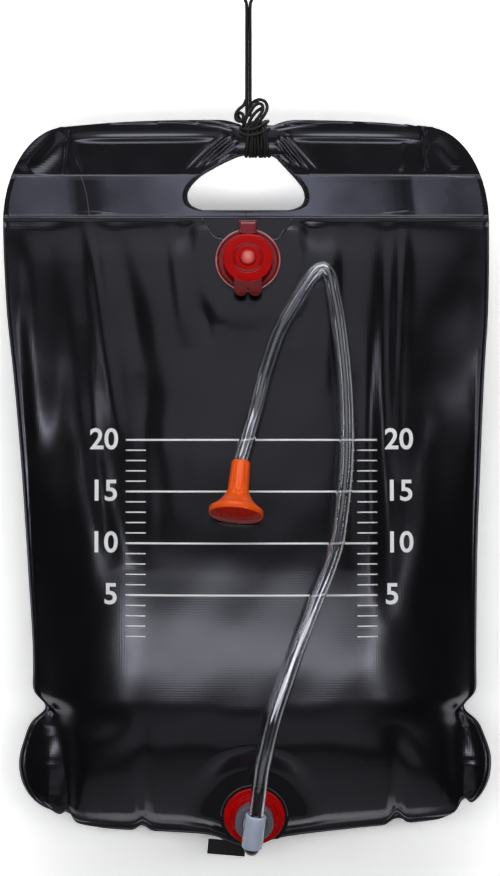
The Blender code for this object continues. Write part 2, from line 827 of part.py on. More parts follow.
def pull_tab(cap):
    """Two round lobes with a notch between them, below the cap's edge."""
    lobe = TAB_WIDTH / 4
    foot = -TAB_REACH + lobe
    outline = [(-2 * lobe, -GROOVE_RADIUS)]
    outline += arc((-lobe, foot), lobe, 180, 330, BEND_STEPS)
    outline += [(0, foot + TAB_NOTCH_RADIUS)]
    outline += arc((lobe, foot), lobe, 210, 360, BEND_STEPS)
    outline += [(2 * lobe, -GROOVE_RADIUS)]
    base = cap_base() + FIT_GAP
    return baked(plate("filler_cap_tab", outline, base, base + TAB_THICKNESS, CUTTERS, None, cap))


def finished(item, finish):
    """Applies a piece's modifiers, so that its origin stays and its Boolean partners can go."""
    made = baked(item)
    made.data.materials.clear()
    made.data.materials.append(finish)
    made.data.shade_smooth()
    made.data.set_sharp_from_angle(angle=math.radians(35))
    return made


def hinge_height():
    """The strap bends midway between the flange's level and the cap's."""
    return (filler_base() + cap_base() + STRAP_THICKNESS) / 2


def make_cap_strap(home):
    """The tether: one strip from the flange's edge, round the bend and back to the cap's edge."""
    low = filler_base() + STRAP_THICKNESS / 2
    high = cap_base() + STRAP_THICKNESS / 2
    radius = (high - low) / 2
    start, end = FLANGE_RADIUS + FIT_GAP, CAP_RADIUS + FIT_GAP
    bend = [
        (STRAP_REACH + radius * math.sin(turn), low + radius - radius * math.cos(turn))
        for turn in (math.pi * k / BEND_STEPS for k in range(BEND_STEPS + 1))
    ]
    line = [(start, low), *bend, (end, high)]
    bm = bmesh.new()
    rows = [[bm.verts.new((side * STRAP_WIDTH / 2, y, z)) for side in (-1, 1)] for y, z in line]
    for near, far in zip(rows, rows[1:]):
        bm.faces.new((near[0], near[1], far[1], far[0]))
    made = add("cap_strap", mesh_of(bm, "cap_strap"), PARTS, FINISH["clear_red"], home)
    strip = made.modifiers.new("strip", "SOLIDIFY")
    strip.thickness = STRAP_THICKNESS
    strip.offset = 0
    return made


def make_filler():
    home = FILLER_SEAT.empty("filler_axis")
    make_filler_patch(home)
    make_filler_flange(home)
    make_cap_strap(home)
    hinge = seat_empty("cap_hinge_axis", (0, STRAP_REACH, hinge_height()), Euler((0, 0, 0)), home)
    make_filler_cap(hinge)


# Outlet and T connector, drawn the same way about the outlet's axis


def outlet_base():
    return 2 * FIT_GAP + PATCH_THICKNESS


def collar_foot():
    return outlet_base() + OUTLET_THICKNESS + OUTLET_BOSS_HEIGHT + FIT_GAP


def elbow_reach():
    """The barrel's axis stands this far off the film, with the barrel just clear of the collar."""
    return collar_foot() + COLLAR_HEIGHT + FIT_GAP + ELBOW_RADIUS


def make_outlet_patch(home):
    start = math.degrees(math.asin(OUTLET_PATCH_CUT / OUTLET_PATCH_RADIUS))
    outline = arc((0, 0), OUTLET_PATCH_RADIUS, -start, 180 + start, STEPS)
    low, high = FIT_GAP, FIT_GAP + PATCH_THICKNESS
    made = plate("outlet_patch", outline, low, high, PARTS, FINISH["film"], home)
    hole = COLLAR_BORE + NECK_WALL + FIT_GAP
    boolean(made, rod("outlet_patch_hole", hole, -OVERRUN, OVERRUN, CUTTERS, None, home, STEPS))
    return made


def make_outlet_flange(home):
    base, face = outlet_base(), outlet_base() + OUTLET_THICKNESS
    outer = COLLAR_BORE + NECK_WALL
    profile = [
        (OUTLET_BOSS_RADIUS, face + OUTLET_BOSS_HEIGHT),
        (OUTLET_BOSS_RADIUS + FLANGE_LIP, face),
        (OUTLET_RADIUS - FLANGE_LIP, face),
        (OUTLET_RADIUS, face - FLANGE_LIP / 2),
        (OUTLET_RADIUS, base),
        (outer, base),
        (outer, -OUTLET_STUB),
        (COLLAR_BORE, -OUTLET_STUB),
        (COLLAR_BORE, face + OUTLET_BOSS_HEIGHT),
    ]
    return turned("outlet_flange", profile, PARTS, FINISH["red"], home)


def make_outlet_collar(home):
    foot = collar_foot()
    top = foot + COLLAR_HEIGHT
    profile = [
        (COLLAR_RADIUS - COLLAR_LIP, top),
        (COLLAR_RADIUS, top - COLLAR_LIP),
        (COLLAR_RADIUS, foot),
        (COLLAR_BORE, foot),
        (COLLAR_BORE, top),
    ]
    return turned("outlet_collar", profile, PARTS, FINISH["clear_grey"], home)


def lying(item):
    """Turns a piece drawn about local Z to lie along local Y of its parent."""
    item.rotation_euler = (-math.pi / 2, 0, 0)
    return item


def make_elbow_body(home):
    """Upright barrel and rear spigot as one body, bored through both ways."""
    edge = ELBOW_RADIUS - ELBOW_EDGE
    barrel = [
        (edge, ELBOW_TOP),
        (ELBOW_RADIUS, ELBOW_TOP - ELBOW_EDGE),
        (ELBOW_RADIUS, ELBOW_EDGE - ELBOW_BOTTOM),
        (edge, -ELBOW_BOTTOM),
        (ELBOW_BORE, -ELBOW_BOTTOM),
        (ELBOW_BORE, ELBOW_TOP),
    ]
    made = lying(turned("elbow_body", barrel, PARTS, FINISH["milky"], home, STEPS))
    made.location = (0, 0, elbow_reach())
    made = baked(made)
    groove = ring_height() - elbow_reach()
    inner = elbow_ring_major() - RING_RADIUS - FIT_GAP
    tip = -SPIGOT_LENGTH - ELBOW_RADIUS
    spigot = [
        (0, -ELBOW_BORE - MERGE),
        (ELBOW_RADIUS - ELBOW_EDGE, -ELBOW_BORE - MERGE),
        (ELBOW_RADIUS - ELBOW_EDGE, -ELBOW_RADIUS),
        (SPIGOT_RADIUS, -ELBOW_RADIUS),
        (SPIGOT_RADIUS, groove + 2 * RING_RADIUS),
        (inner, groove + 2 * RING_RADIUS),
        (inner, groove - 2 * RING_RADIUS),
        (SPIGOT_RADIUS, groove - 2 * RING_RADIUS),
        (SPIGOT_RADIUS, tip),
        (0, tip),
    ]
    part = turned("elbow_spigot", spigot, CUTTERS, None, home)
    part.location = (0, 0, elbow_reach())
    boolean(made, baked(part), "UNION")
    low = tip - OVERRUN + elbow_reach()
    bore = rod("elbow_spigot_bore", SPIGOT_BORE, low, elbow_reach(), CUTTERS, None, home)
    boolean(made, bore)
    return finished(made, FINISH["milky"])


def elbow_ring_major():
    return COLLAR_BORE - FIT_GAP - RING_RADIUS


def ring_height():
    """The seal lies halfway down the part of the spigot that is inside the collar."""
    tip = elbow_reach() - ELBOW_RADIUS - SPIGOT_LENGTH
    return (tip + collar_foot() + COLLAR_HEIGHT) / 2


def make_hose_barb(home):
    root = ELBOW_BORE - FIT_GAP
    low, high = ELBOW_TOP - BARB_DEPTH, ELBOW_TOP + BARB_LENGTH
    pitch = BARB_LENGTH / (BARB_COUNT + 1)
    profile = [(BARB_RADIUS - BARB_STEP, high)]
    for step in range(BARB_COUNT):
        level = high - pitch * (step + 1)
        profile += [(BARB_RADIUS, level + BARB_STEP), (BARB_RADIUS - BARB_STEP, level)]
    profile += [(root - BARB_STEP, ELBOW_TOP), (root, ELBOW_TOP - BARB_STEP), (root, low)]
    profile += [(root - BARB_WALL, low), (root - BARB_WALL, high)]
    made = lying(turned("hose_barb", profile, PARTS, FINISH["black"], home, SMALL_STEPS))
    made.location = (0, 0, elbow_reach())
    return made


def make_elbow_plug(home):
    top = -ELBOW_BOTTOM - FIT_GAP
    inner = ELBOW_BORE - FIT_GAP
    profile = [
        (0, top + PLUG_INSERT),
        (inner, top + PLUG_INSERT),
        (inner, top),
        (PLUG_CAP_RADIUS, top),
        (PLUG_CAP_RADIUS - BARB_STEP, top - PLUG_CAP_HEIGHT / 2),
        (PLUG_CAP_TIP, top - PLUG_CAP_HEIGHT),
        (0, top - PLUG_CAP_HEIGHT),
    ]
    made = lying(turned("elbow_plug", profile, PARTS, FINISH["black"], home, SMALL_STEPS))
    made.location = (0, 0, elbow_reach())
    return made


def make_outlet():
    home = OUTLET_SEAT.empty("outlet_axis")
    make_outlet_patch(home)
    make_outlet_flange(home)
    make_outlet_collar(home)
    swivel = seat_empty("elbow_swivel_axis", (0, 0, 0), Euler((0, 0, ELBOW_TURN)), home)
    make_elbow_body(swivel)
    make_hose_barb(swivel)
    make_elbow_plug(swivel)
    ring("elbow_o_ring", elbow_ring_major(), RING_RADIUS, ring_height(), FINISH["rubber"], swivel)
    return swivel


# Spray head, drawn about its own axis: local Z points back up into the hose


def spray_turn():
    return Euler((-SPRAY_TILT, 0, 0)).to_matrix() @ Euler((0, SPRAY_LEAN, 0)).to_matrix()


def land_top():
    return -LAND_DEPTH


def stem_ring_major():
    return STEM_RADIUS + STEM_LAND_CLEARANCE - FIT_GAP - STEM_RING_RADIUS


def make_spray_stem(home):
    """Stem with a collar that stops the head at its top and a stop ring that keeps it from coming off."""
    collar = land_top() + FIT_GAP
    groove = land_top() - HEAD_LAND / 2
    inner = stem_ring_major() - STEM_RING_RADIUS - FIT_GAP
    foot = -STEM_LENGTH
    profile = [
        (STEM_RADIUS - BARB_STEP, STEM_IN_HOSE + collar),
        (STEM_RADIUS, STEM_IN_HOSE + collar - 4 * BARB_STEP),
        (STEM_RADIUS, collar + STEM_COLLAR_LENGTH),
        (STEM_COLLAR, collar + STEM_COLLAR_LENGTH),
        (STEM_COLLAR, collar),
        (STEM_RADIUS, collar),
        (STEM_RADIUS, groove + STEM_RING_RADIUS + FIT_GAP),
        (inner, groove + STEM_RING_RADIUS + FIT_GAP),
        (inner, groove - STEM_RING_RADIUS - FIT_GAP),
        (STEM_RADIUS, groove - STEM_RING_RADIUS - FIT_GAP),
        (STEM_RADIUS, foot + 2 * STEM_STOP_LENGTH),
        (STEM_STOP, foot + STEM_STOP_LENGTH),
        (STEM_STOP, foot),
        (STEM_BORE, foot),
        (STEM_BORE, STEM_IN_HOSE + collar),
    ]
    return turned("spray_stem", profile, PARTS, FINISH["black"], home, SMALL_STEPS)


def make_spray_head(home):
    """Neck round the hose, a guide land round the stem, and a bell closed by the rose."""
    bore = HOSE_DIAMETER / 2 + FIT_GAP
    land = STEM_RADIUS + STEM_LAND_CLEARANCE
    low = land_top() - HEAD_LAND
    bell_rim = -HEAD_LENGTH + HEAD_RIM
    wide, tall = HEAD_RADIUS - HEAD_WAIST_RADIUS, -HEAD_NECK_LENGTH - bell_rim
    profile = [(HEAD_NECK_RADIUS - BARB_STEP, 0), (HEAD_NECK_RADIUS, -BARB_STEP)]
    for reach, drop in FLARE_SHARES:
        profile.append((HEAD_WAIST_RADIUS + wide * reach, -HEAD_NECK_LENGTH - tall * drop))
    profile += [
        (HEAD_RADIUS, -HEAD_LENGTH + HEAD_RIM / 3),
        (HEAD_RADIUS - BARB_STEP, -HEAD_LENGTH),
        (HEAD_RADIUS - HEAD_WALL, -HEAD_LENGTH),
        (HEAD_RADIUS - HEAD_WALL, bell_rim),
        (STEM_STOP + FIT_GAP + HEAD_WALL, low - HEAD_WALL),
        (STEM_STOP + FIT_GAP, low),
        (land, low),
        (land, land_top()),
        (bore, land_top()),
        (bore, 0),
    ]
    return turned("spray_head", profile, PARTS, FINISH["orange"], home)


def make_spray_rose(home):
    """A crowned disc with rings of holes, and the pin that shuts the stem when the head is pushed up."""
    radius = HEAD_RADIUS - HEAD_WALL - FIT_GAP
    top = -HEAD_LENGTH + ROSE_THICKNESS
    pin_top = -STEM_LENGTH + ROSE_PIN_ENTRY
    profile = [
        (0, pin_top),
        (ROSE_PIN_RADIUS, pin_top),
        (ROSE_PIN_RADIUS, top - ROSE_CROWN),
        (radius / 2, top - ROSE_CROWN * 3 / 4),
        (radius, top),
        (radius, top - ROSE_THICKNESS),
        (radius / 2, top - ROSE_CROWN * 3 / 4 - ROSE_THICKNESS),
        (0, top - ROSE_CROWN - ROSE_THICKNESS),
    ]
    made = baked(turned("spray_rose", profile, PARTS, FINISH["dark_orange"], home))
    for ring_radius, count in zip(ROSE_RING_RADII, ROSE_RING_COUNTS):
        for k in range(count):
            angle = math.tau * k / count
            hole = rod("rose_hole", ROSE_HOLE_RADIUS, -OVERRUN, OVERRUN, CUTTERS, None, home, HOLE_SIDES)
            hole.location = (ring_radius * math.cos(angle), ring_radius * math.sin(angle), -HEAD_LENGTH)
            boolean(made, hole)
    return finished(made, FINISH["dark_orange"])


def make_spray():
    place = Matrix.Translation((SPRAY_X, SPRAY_Y, SPRAY_Z)) @ spray_turn().to_4x4()
    home = seat_empty("spray_pull_axis", place.to_translation(), place.to_euler())
    make_spray_stem(home)
    seal_height = land_top() - HEAD_LAND / 2
    ring("stem_o_ring", stem_ring_major(), STEM_RING_RADIUS, seal_height, FINISH["rubber"], home)
    make_spray_head(home)
    make_spray_rose(home)
    return home


# Hose and cord


def make_hose(swivel, spray):
    """Straight off the barb, along the route, and straight onto the stem; bored through."""
    bpy.context.view_layer.update()
    start = ELBOW_TOP + FIT_GAP
    first = [swivel.matrix_world @ Vector((0, start + BARB_LENGTH * k / 2, elbow_reach())) for k in range(3)]
    foot = land_top() + FIT_GAP + STEM_COLLAR_LENGTH + FIT_GAP
    last = [spray.matrix_world @ Vector((0, 0, foot + (HOSE_LEAD - foot) * k / 2)) for k in (2, 1, 0)]
    points = first[:1] + smooth_route([*first[1:], *HOSE_ROUTE, *last[:-1]], 2 * HOSE_DIAMETER) + last[-1:]
    made = baked(tube("hose", points, HOSE_DIAMETER, PARTS, None, HOSE_RESOLUTION))
    before = points[0] + (points[0] - points[1]).normalized() * HOSE_LEAD
    after = points[-1] + (points[-1] - points[-2]).normalized() * HOSE_LEAD
    bore = tube("hose_bore", [before, *points[1:-1], after], HOSE_BORE, CUTTERS, None, HOSE_RESOLUTION)
    boolean(made, baked(bore))
    return finished(made, FINISH["clear"])


def loop_points():
    """One unbroken line: up a strand, round the loop, and down the other strand."""
    half = CORD_SPACING / 2
    wide = LOOP_WIDTH / 2 + CORD_DIAMETER / 2
    throat, crown = -LOOP_LENGTH - CORD_DIAMETER, -wide + CORD_DIAMETER / 2
    up = [(-half, throat + (-CORD_FOOT - throat) * (1 - k / 4)) for k in range(5)]
    up += [(-half - (wide - half) * share, throat + (crown - throat) * rise) for share, rise in LOOP_SHARES]
    over = arc((0, crown), wide, 180, 0, BEND_STEPS)
    down = [(-x, z) for x, z in reversed(up)]
    return [(CORD_X + x, 0, z) for x, z in up + over + down]


def hitch_points():
    """Turns round the gathered film above the slot, as one helix about X."""
    top = pinch_top()
    foot = slot_top()
    middle = (top + foot) / 2
    tall = (top - foot) / 2 + HITCH_PLAY + CORD_DIAMETER / 2
    deep = film_offset(0) + PINCH_BULGE + HITCH_PLAY + CORD_DIAMETER / 2
    start = PINCH_X - HITCH_PITCH * HITCH_TURNS / 2
    points = []
    for step in range(HITCH_STEPS * HITCH_TURNS + 1):
        turns = step / HITCH_STEPS
        angle = math.tau * turns
        x = start + HITCH_PITCH * turns
        points.append((x, -deep * math.sin(angle), middle + tall * math.cos(angle)))
    return points


def least_gap(points, steps):
    """The least gap of a wound cord to itself, measured on its points a turn or so apart."""
    spots = [Vector(point) for point in points]
    least = min(
        (spots[i] - spots[j]).length
        for i in range(len(spots))
        for j in range(i + steps // 2, len(spots))
    )
    return least - CORD_DIAMETER


def make_cord():
    tube("hanging_rope", loop_points(), CORD_DIAMETER, PARTS, FINISH["cord"])
    turns = hitch_points()
    print("rope_hitch least gap to itself, mm:", round(least_gap(turns, HITCH_STEPS) * 1000, 2))
    tube("rope_hitch", turns, CORD_DIAMETER, PARTS, FINISH["cord"], 1)
    tube("rope_knot", smooth_route(KNOT_ROUTE, CORD_DIAMETER), CORD_DIAMETER, PARTS, FINISH["cord"], 1)


# Finishes


def finishes():
    return {
        "film": material("black_film", (0.022, 0.022, 0.027), 0.38),
        "band": material("band_film", (0.07, 0.072, 0.085), 0.3),
        "red": material("red_plastic", (0.55, 0.004, 0.006), 0.25),
        "clear_red": material("clear_red_plastic", (0.5, 0.01, 0.012), 0.2, 0.75),
        "clear_grey": material("clear_grey_plastic", (0.35, 0.36, 0.42), 0.3, 0.6),
        "milky": material("milky_plastic", (0.62, 0.64, 0.72), 0.35, 0.85),
        "black": material("black_plastic", (0.012, 0.012, 0.013), 0.35),
        "rubber": material("black_rubber", (0.015, 0.015, 0.015), 0.7),
        "clear": material("clear_hose", (0.75, 0.78, 0.85), 0.12, 0.35),
        "orange": material("orange_plastic", (0.8, 0.13, 0.015), 0.3),
        "dark_orange": material("dark_orange_plastic", (0.5, 0.05, 0.008), 0.4),
        "cord": material("braided_cord", (0.02, 0.02, 0.021), 0.75),
    }


clear_scene()
PARTS = collection("camp_shower_bag")
CUTTERS = collection("cutters")
FINISH = finishes()
FRONT_OF_HEADER = film_offset(0) + PINCH_BULGE + OVERRUN
SLOT_CUTTER = upright(plate("slot_cutter", slot_outline(), -FRONT_OF_HEADER, FRONT_OF_HEADER, CUTTERS))
PINCH_CUTTER = upright(plate("pinch_cutter", pinch_outline(), -FRONT_OF_HEADER, FRONT_OF_HEADER, CUTTERS))

FRONT = panel("front_panel", FRONT_COLUMNS, FRONT_ROWS, front_y, FINISH["film"])
panel("back_panel", BACK_COLUMNS, BACK_ROWS, back_y, FINISH["film"], faces_back=True)
make_handle_band()
make_header_liner()
make_bottom_tab()
make_filler()
SWIVEL = make_outlet()
SPRAY = make_spray()
make_hose(SWIVEL, SPRAY)
make_cord()


def cut_fitting_holes():
    """Holes in the front film for the filler's neck and the outlet's stub."""
    for name, seat, radius in (
        ("filler_hole", "filler_axis", NECK_BORE + NECK_WALL + FIT_GAP),
        ("outlet_hole", "outlet_axis", COLLAR_BORE + NECK_WALL + FIT_GAP),
    ):
        home = bpy.data.objects[seat]
        boolean(FRONT, rod(name, radius, -OVERRUN, OVERRUN, CUTTERS, None, home, STEPS))


cut_fitting_holes()
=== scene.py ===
import math

import bmesh
import bpy
import numpy as np
from mathutils import Euler, Matrix, Vector


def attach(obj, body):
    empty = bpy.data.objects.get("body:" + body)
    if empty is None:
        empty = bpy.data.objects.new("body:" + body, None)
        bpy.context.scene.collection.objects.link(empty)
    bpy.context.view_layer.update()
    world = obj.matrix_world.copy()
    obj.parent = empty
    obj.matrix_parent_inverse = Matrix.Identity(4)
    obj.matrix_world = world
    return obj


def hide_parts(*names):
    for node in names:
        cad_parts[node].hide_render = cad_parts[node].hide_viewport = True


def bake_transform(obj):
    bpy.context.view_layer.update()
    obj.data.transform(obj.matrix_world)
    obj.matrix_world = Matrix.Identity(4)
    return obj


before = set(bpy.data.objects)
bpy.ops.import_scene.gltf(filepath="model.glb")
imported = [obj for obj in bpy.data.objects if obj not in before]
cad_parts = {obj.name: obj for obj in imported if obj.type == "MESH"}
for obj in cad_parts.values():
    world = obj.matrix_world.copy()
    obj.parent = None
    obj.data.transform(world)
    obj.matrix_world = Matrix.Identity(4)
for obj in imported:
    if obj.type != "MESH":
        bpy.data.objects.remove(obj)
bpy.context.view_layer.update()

# Camera, as far from the bag as the photograph's flat view asks
CAMERA_PLACE = (0.0033, -3.5, -0.3934)
CAMERA_LENS = 174.8
SENSOR = 36

# Bag outline and swell, as the frame has them
BAG_WIDTH = 0.400
SIDE_HEIGHT = 0.563
TOP_CROWN = 0.006
BOTTOM_SAG = 0.029
BAG_DROP = 0.1315
BAG_TOP = -BAG_DROP
BULGE = 0.058
BACK_BULGE = 0.050
BACK_FOLD_SHARE = 0.7
FILM = 0.0006
SEAM_GAP = 0.0003
LINER_THICKNESS = 0.0006
HEM = 0.004
HEADER_HEIGHT = 0.080
BAND_HEIGHT = 0.034
BAND_THICKNESS = 0.0004
BAND_SLANT = 0.12
BAND_LIFT = 0.0006
HEADER_FADE = 0.012
EDGE_ROUNDNESS = 2.2
EDGE_ROUNDNESS_RISE = 1.6
ROUNDNESS_POWER = 4
CROWN_POWER = 3
SAG_POWER = 4
TOP_CORNER = (0.052, 0.080)
BOTTOM_CORNER = (0.035, 0.039)
NOTCH_DEPTH = 0.012
NOTCH_POWER = 9
NOTCH_SPREAD = 0.009
NOTCH_RISE = 0.086
LEFT_INSET_SHARES = (
    (0, 0), (0.13, 0), (0.25, 0.006), (0.37, 0.0226), (0.49, 0.037), (0.645, 0.0514),
    (0.79, 0.0617), (0.86, 0.056), (0.93, 0.033), (1, 0.033),
)
RIGHT_INSET_SHARES = (
    (0, 0), (0.19, 0), (0.25, 0.001), (0.37, 0.0103), (0.49, 0.0175), (0.645, 0.0247),
    (0.79, 0.0262), (0.865, 0.0185), (0.924, -0.0041), (1, -0.0041),
)
BOTTOM_EDGE_SHARES = (
    (-1, 0), (-0.88, 0.37), (-0.75, 0.5), (-0.4, 0.6), (-0.24, 0.67), (-0.05, 1), (0.14, 0.74),
    (0.47, 0.51), (0.8, 0.33), (0.9, 0.27), (1, 0),
)
BULGE_SHARES = (
    (0, 0), (0.0041, 0), (0.0789, 0.15), (0.2747, 0.46), (0.4128, 0.7), (0.5913, 0.94), (0.7237, 1),
    (0.79, 0.965), (0.85, 0.85), (0.9, 0.66), (0.94, 0.45), (0.97, 0.24), (0.9919, 0), (1, 0),
)

# Slot and pinch
SLOT_WIDTH = 0.0985
SLOT_HEIGHT = 0.0473
SLOT_DROP = 0.0755
SLOT_ROUND = 0.006
SLOT_LEFT_SHARES = ((0.28, 0.83), (0.12, 0.64), (0.04, 0.48), (0, 0.33), (0, 0.2), (0.03, 0.09), (0.12, 0))
SLOT_RIGHT_SHARES = ((0.88, 0), (0.97, 0.08), (1, 0.19), (1, 0.3), (0.98, 0.42), (0.925, 0.57), (0.84, 0.76))
PINCH_X = 0.0095
PINCH_DIP = 0.0045
PINCH_SLOPE = 0.020
PINCH_BULGE = 0.004
PINCH_SPREAD = 0.026
PINCH_POWER = 4
HEM_LEAN = 0.0012
HEM_BEAD = 0.0005
HEM_BEAD_WIDTH = 0.0011
HEM_FADE = 4 * HEM

# Grid of the film
COLUMNS = 420
HEADER_ROWS = 150
BODY_ROWS = 380
EDGE_COLUMNS = 8
BACK_COLUMNS = 170
BACK_HEADER_ROWS = 50
BACK_BODY_ROWS = 190
ROWS_DRAWN_DOWN = 0.12
BAND_ROWS = 30
BAND_COLUMNS = 140

# Gathers of the lower edge: place across, how far the edge draws in, and half of its width
EDGE_GATHERS = (
    (-0.1470, 0.0085, 0.0045), (-0.0850, 0.0050, 0.0050), (0.1240, 0.0085, 0.0055), (0.1790, 0.0100, 0.0045),
)
GATHER_REACH = 0.020
GATHER_CREASE_SHARE = 0.75
GATHER_CREASE_SPREAD = 2
EDGE_RIPPLE = 0.0006
EDGE_RIPPLE_PITCH = 0.021
RIPPLE_REACH = 3 * HEM
RIPPLE_DRIFT = 2
RIPPLE_DRIFT_ACROSS = 9
RIPPLE_DRIFT_DOWN = 5
RIPPLE_FADE = (-0.65, -0.30)

# Folds of the front film, in millimetres: height over the plain surface, half of its width, and its line
FOLDS = (
    (1.9, 6.6, ((-133, -205), (-126.2, -235), (-119, -290), (-112, -345), (-102, -405))),
    (-1.6, 11, ((-118, -205), (-106, -240), (-93, -290), (-79, -360), (-70, -400))),
    (1.3, 10.5, ((-148, -255), (-141, -310), (-138, -380), (-135, -430), (-127, -490), (-120, -535))),
    (-1.2, 6, ((-133, -300), (-126, -370), (-119, -440), (-108, -500))),
    (0.9, 8, ((-106, -400), (-102, -460), (-95, -500))),
    (2, 7, ((129, -200), (128, -250), (125, -310), (123.5, -370), (123, -430))),
    (-2.4, 8.5, ((116, -210), (115, -290), (115, -380), (117, -470), (115, -545))),
    (1.8, 8, ((100, -300), (98, -370), (98.5, -450), (98.5, -530))),
    (-1.5, 7, ((86, -340), (85, -420), (85, -500))),
    (1.4, 11.5, ((144, -330), (144, -420), (143, -490), (135, -555))),
    (0.7, 10, ((-71.5, -360), (-64.5, -420), (-60, -470))),
    (-1, 8, ((-86, -340), (-80, -430), (-78, -500))),
    (1, 4.4, ((-40, -214), (-30, -250), (-20, -300))),
    (-1.2, 6, ((-50, -214), (-40, -260), (-29, -320))),
    (1, 6, ((-62, -214), (-56, -260), (-48, -320))),
    (1, 4.4, ((43, -214), (35, -250), (28, -300))),
    (-1.2, 6, ((53, -214), (46, -262), (39, -320))),
    (1, 7, ((70, -214), (68, -280), (64, -360))),
    (-1, 8, ((84, -220), (80, -290), (78, -360))),
    (1.7, 10.5, ((-183, -205), (-176, -260), (-173, -330), (-170, -410))),
    (-3.2, 10.5, ((-160, -606), (-152.5, -630), (-149, -655), (-148, -700))),
    (-3.2, 10.5, ((179, -606), (174, -630), (174.5, -655), (179, -690))),
)
# Painted sheen across the band: place across it, and how much of the lighter painted sheen colour it takes
# there
BAND_SHEEN_SHARES = (
    (0.02, 0.35), (0.07, 0.52), (0.13, 0.42), (0.155, 0.06), (0.19, 0.1), (0.22, 0.34), (0.29, 0.46),
    (0.34, 0.66), (0.4, 0.82), (0.58, 0.86), (0.62, 0.95), (0.68, 0.6), (0.75, 0.44), (0.8, 0.2),
    (0.825, 0.05), (0.84, 0.1), (0.85, 0.62), (0.88, 0.42), (0.93, 0.26), (0.98, 0.3),
)
FOLD_SPACING = 0.012
FOLD_REACH = 3
FOLD_END_POWER = 3
HEADER_FOLDS = (
    (1.5, 2.7, ((-145.5, -147), (-80, -146.2), (-16.5, -145.8))),
    (1.5, 2.7, ((27, -145.8), (90, -146.2), (146.5, -147.2))),
    (0.6, 0.9, ((-148, -140), (-150, -160), (-151.2, -176.5))),
    (-0.7, 1.2, ((-145.5, -140), (-146.8, -160), (-147.2, -176.5))),
    (0.5, 0.8, ((-143, -148), (-139.5, -162), (-134.5, -174))),
    (1.4, 7, ((-150, -144), (-160, -158), (-176, -174))),
    (-0.9, 5, ((-156, -140), (-170, -154), (-186, -172))),
    (-0.9, 1.6, ((145.5, -136), (146.8, -155), (147, -174))),
    (0.8, 1, ((148.2, -140), (150, -156), (149.2, -171.5))),
    (0.5, 2.2, ((130, -150), (129, -162), (127, -174))),
    (0.6, 5, ((156, -148), (165, -160), (174, -172))),
    (0.8, 1, ((-12, -143), (-28, -156), (-42, -171))),
    (-0.8, 1.1, ((-10, -145), (-25.5, -157.5), (-38.5, -170))),
    (0.8, 1, ((-8.5, -147), (-22.5, -159), (-34.5, -169))),
    (-0.8, 1.1, ((-7, -149), (-19.5, -160), (-30, -168))),
    (0.7, 1, ((-13, -140.5), (-33, -154.5), (-50, -172))),
    (0.6, 1.2, ((-6, -151), (-16, -160.5), (-25, -166))),
    (0.8, 1, ((28, -143), (40, -157), (52, -172))),
    (-0.8, 1.1, ((27, -145), (37.5, -158), (48.5, -171))),
    (0.8, 1, ((26.2, -147), (35, -159), (45, -170))),
    (-0.8, 1.1, ((25.5, -149), (32.5, -160), (41, -169))),
    (0.7, 1, ((30, -141.5), (45, -156), (59, -172))),
    (0.6, 1.2, ((24, -152), (30, -161), (37, -167))),
    (0.7, 1.1, ((-47, -132.5), (-28, -133.5), (-10, -138))),
    (-0.6, 1, ((-40, -135), (-23, -136.5), (-9, -140.5))),
    (0.6, 0.9, ((-76, -133), (-56, -132.5), (-38, -135))),
    (0.5, 1, ((-115, -134.5), (-90, -133.5), (-70, -134.5))),
    (0.7, 1.1, ((22, -137.5), (38, -134), (56, -132.5))),
    (-0.6, 1, ((24, -140), (42, -136.5), (60, -135))),
    (0.6, 0.9, ((48, -134.5), (70, -132.5), (90, -133.5))),
    (0.5, 1, ((95, -133), (115, -134), (135, -136))),
)

# Weld lines: sinks of the film under them in metres, routes and creases in millimetres; their beads are a
# lighter grey, painted sheen
WELD_SINKS = ((-0.1786, 0.0010), (-0.2124, 0.0012))
WELD_ROUTES = (
    ((-191, -178.8), (-170, -177.9), (-130, -177.5), (-90, -177.3), (-47, -176.8)),
    ((52, -176.6), (90, -176.8), (130, -177.3), (165, -178.4), (187, -179.7)),
    (
        (-196.5, -211.8), (-139, -211.4), (-70, -211.4), (-40, -210.4), (-9, -210.2), (37, -209.9),
        (70, -210.8), (125, -210.8), (196.5, -211.8),
    ),
    ((-36.2, -213), (-28, -226.2), (-20.5, -230), (-12, -229.6)),
    ((37.8, -213), (31.2, -222.2), (26.2, -229.6), (20, -230.2), (13.5, -228.2)),
)
# Light lines along two creases of the band: painted highlights, drawn as beads
BAND_CREASE_HIGHLIGHTS = (
    ((-135.5, -178.5), (-132.8, -187), (-130.9, -195), (-129.7, -203.5), (-129, -211.2)),
    ((140, -178.5), (141.2, -188), (141.8, -198), (141.4, -211.2)),
)
WELD_BEAD = 0.00042
SLOT_WELD_DROP = 0.018
RIM_RADIUS = 0.0013
RIM_LIP = 0.0005
WELD_STEP = 0.0015
SLOT_WELD_REACH = 0.0033
RIM_SIDES = 12
FILM_WAVES = (
    (0.00022, 47, 21, 0.4), (0.00018, -61, 34, 1.9), (0.00015, 83, -17, 3.1), (0.00012, 29, 97, 5.2),
    (0.00010, -113, 71, 2.3),
)

# Filler and outlet: the middle of each seat on the film, its tilt and its size
FILLER_PLACE = (0.0016, -0.00896, -0.248)
FILLER_TILT = math.radians(12)
FILLER_PATCH_RADIUS = 0.0285
OUTLET_PLACE = (0.0068, -0.01815, -0.70253)
OUTLET_TILT = math.radians(18)
OUTLET_PATCH_RADIUS = 0.0285
OUTLET_WELD_RADIUS = 0.0272
SEAT_MARGIN = 0.010
SEAT_FADE = 0.022
FIT_GAP = 0.0003
PATCH_THICKNESS = 0.0004
SEAT_BASE = 2 * FIT_GAP + PATCH_THICKNESS

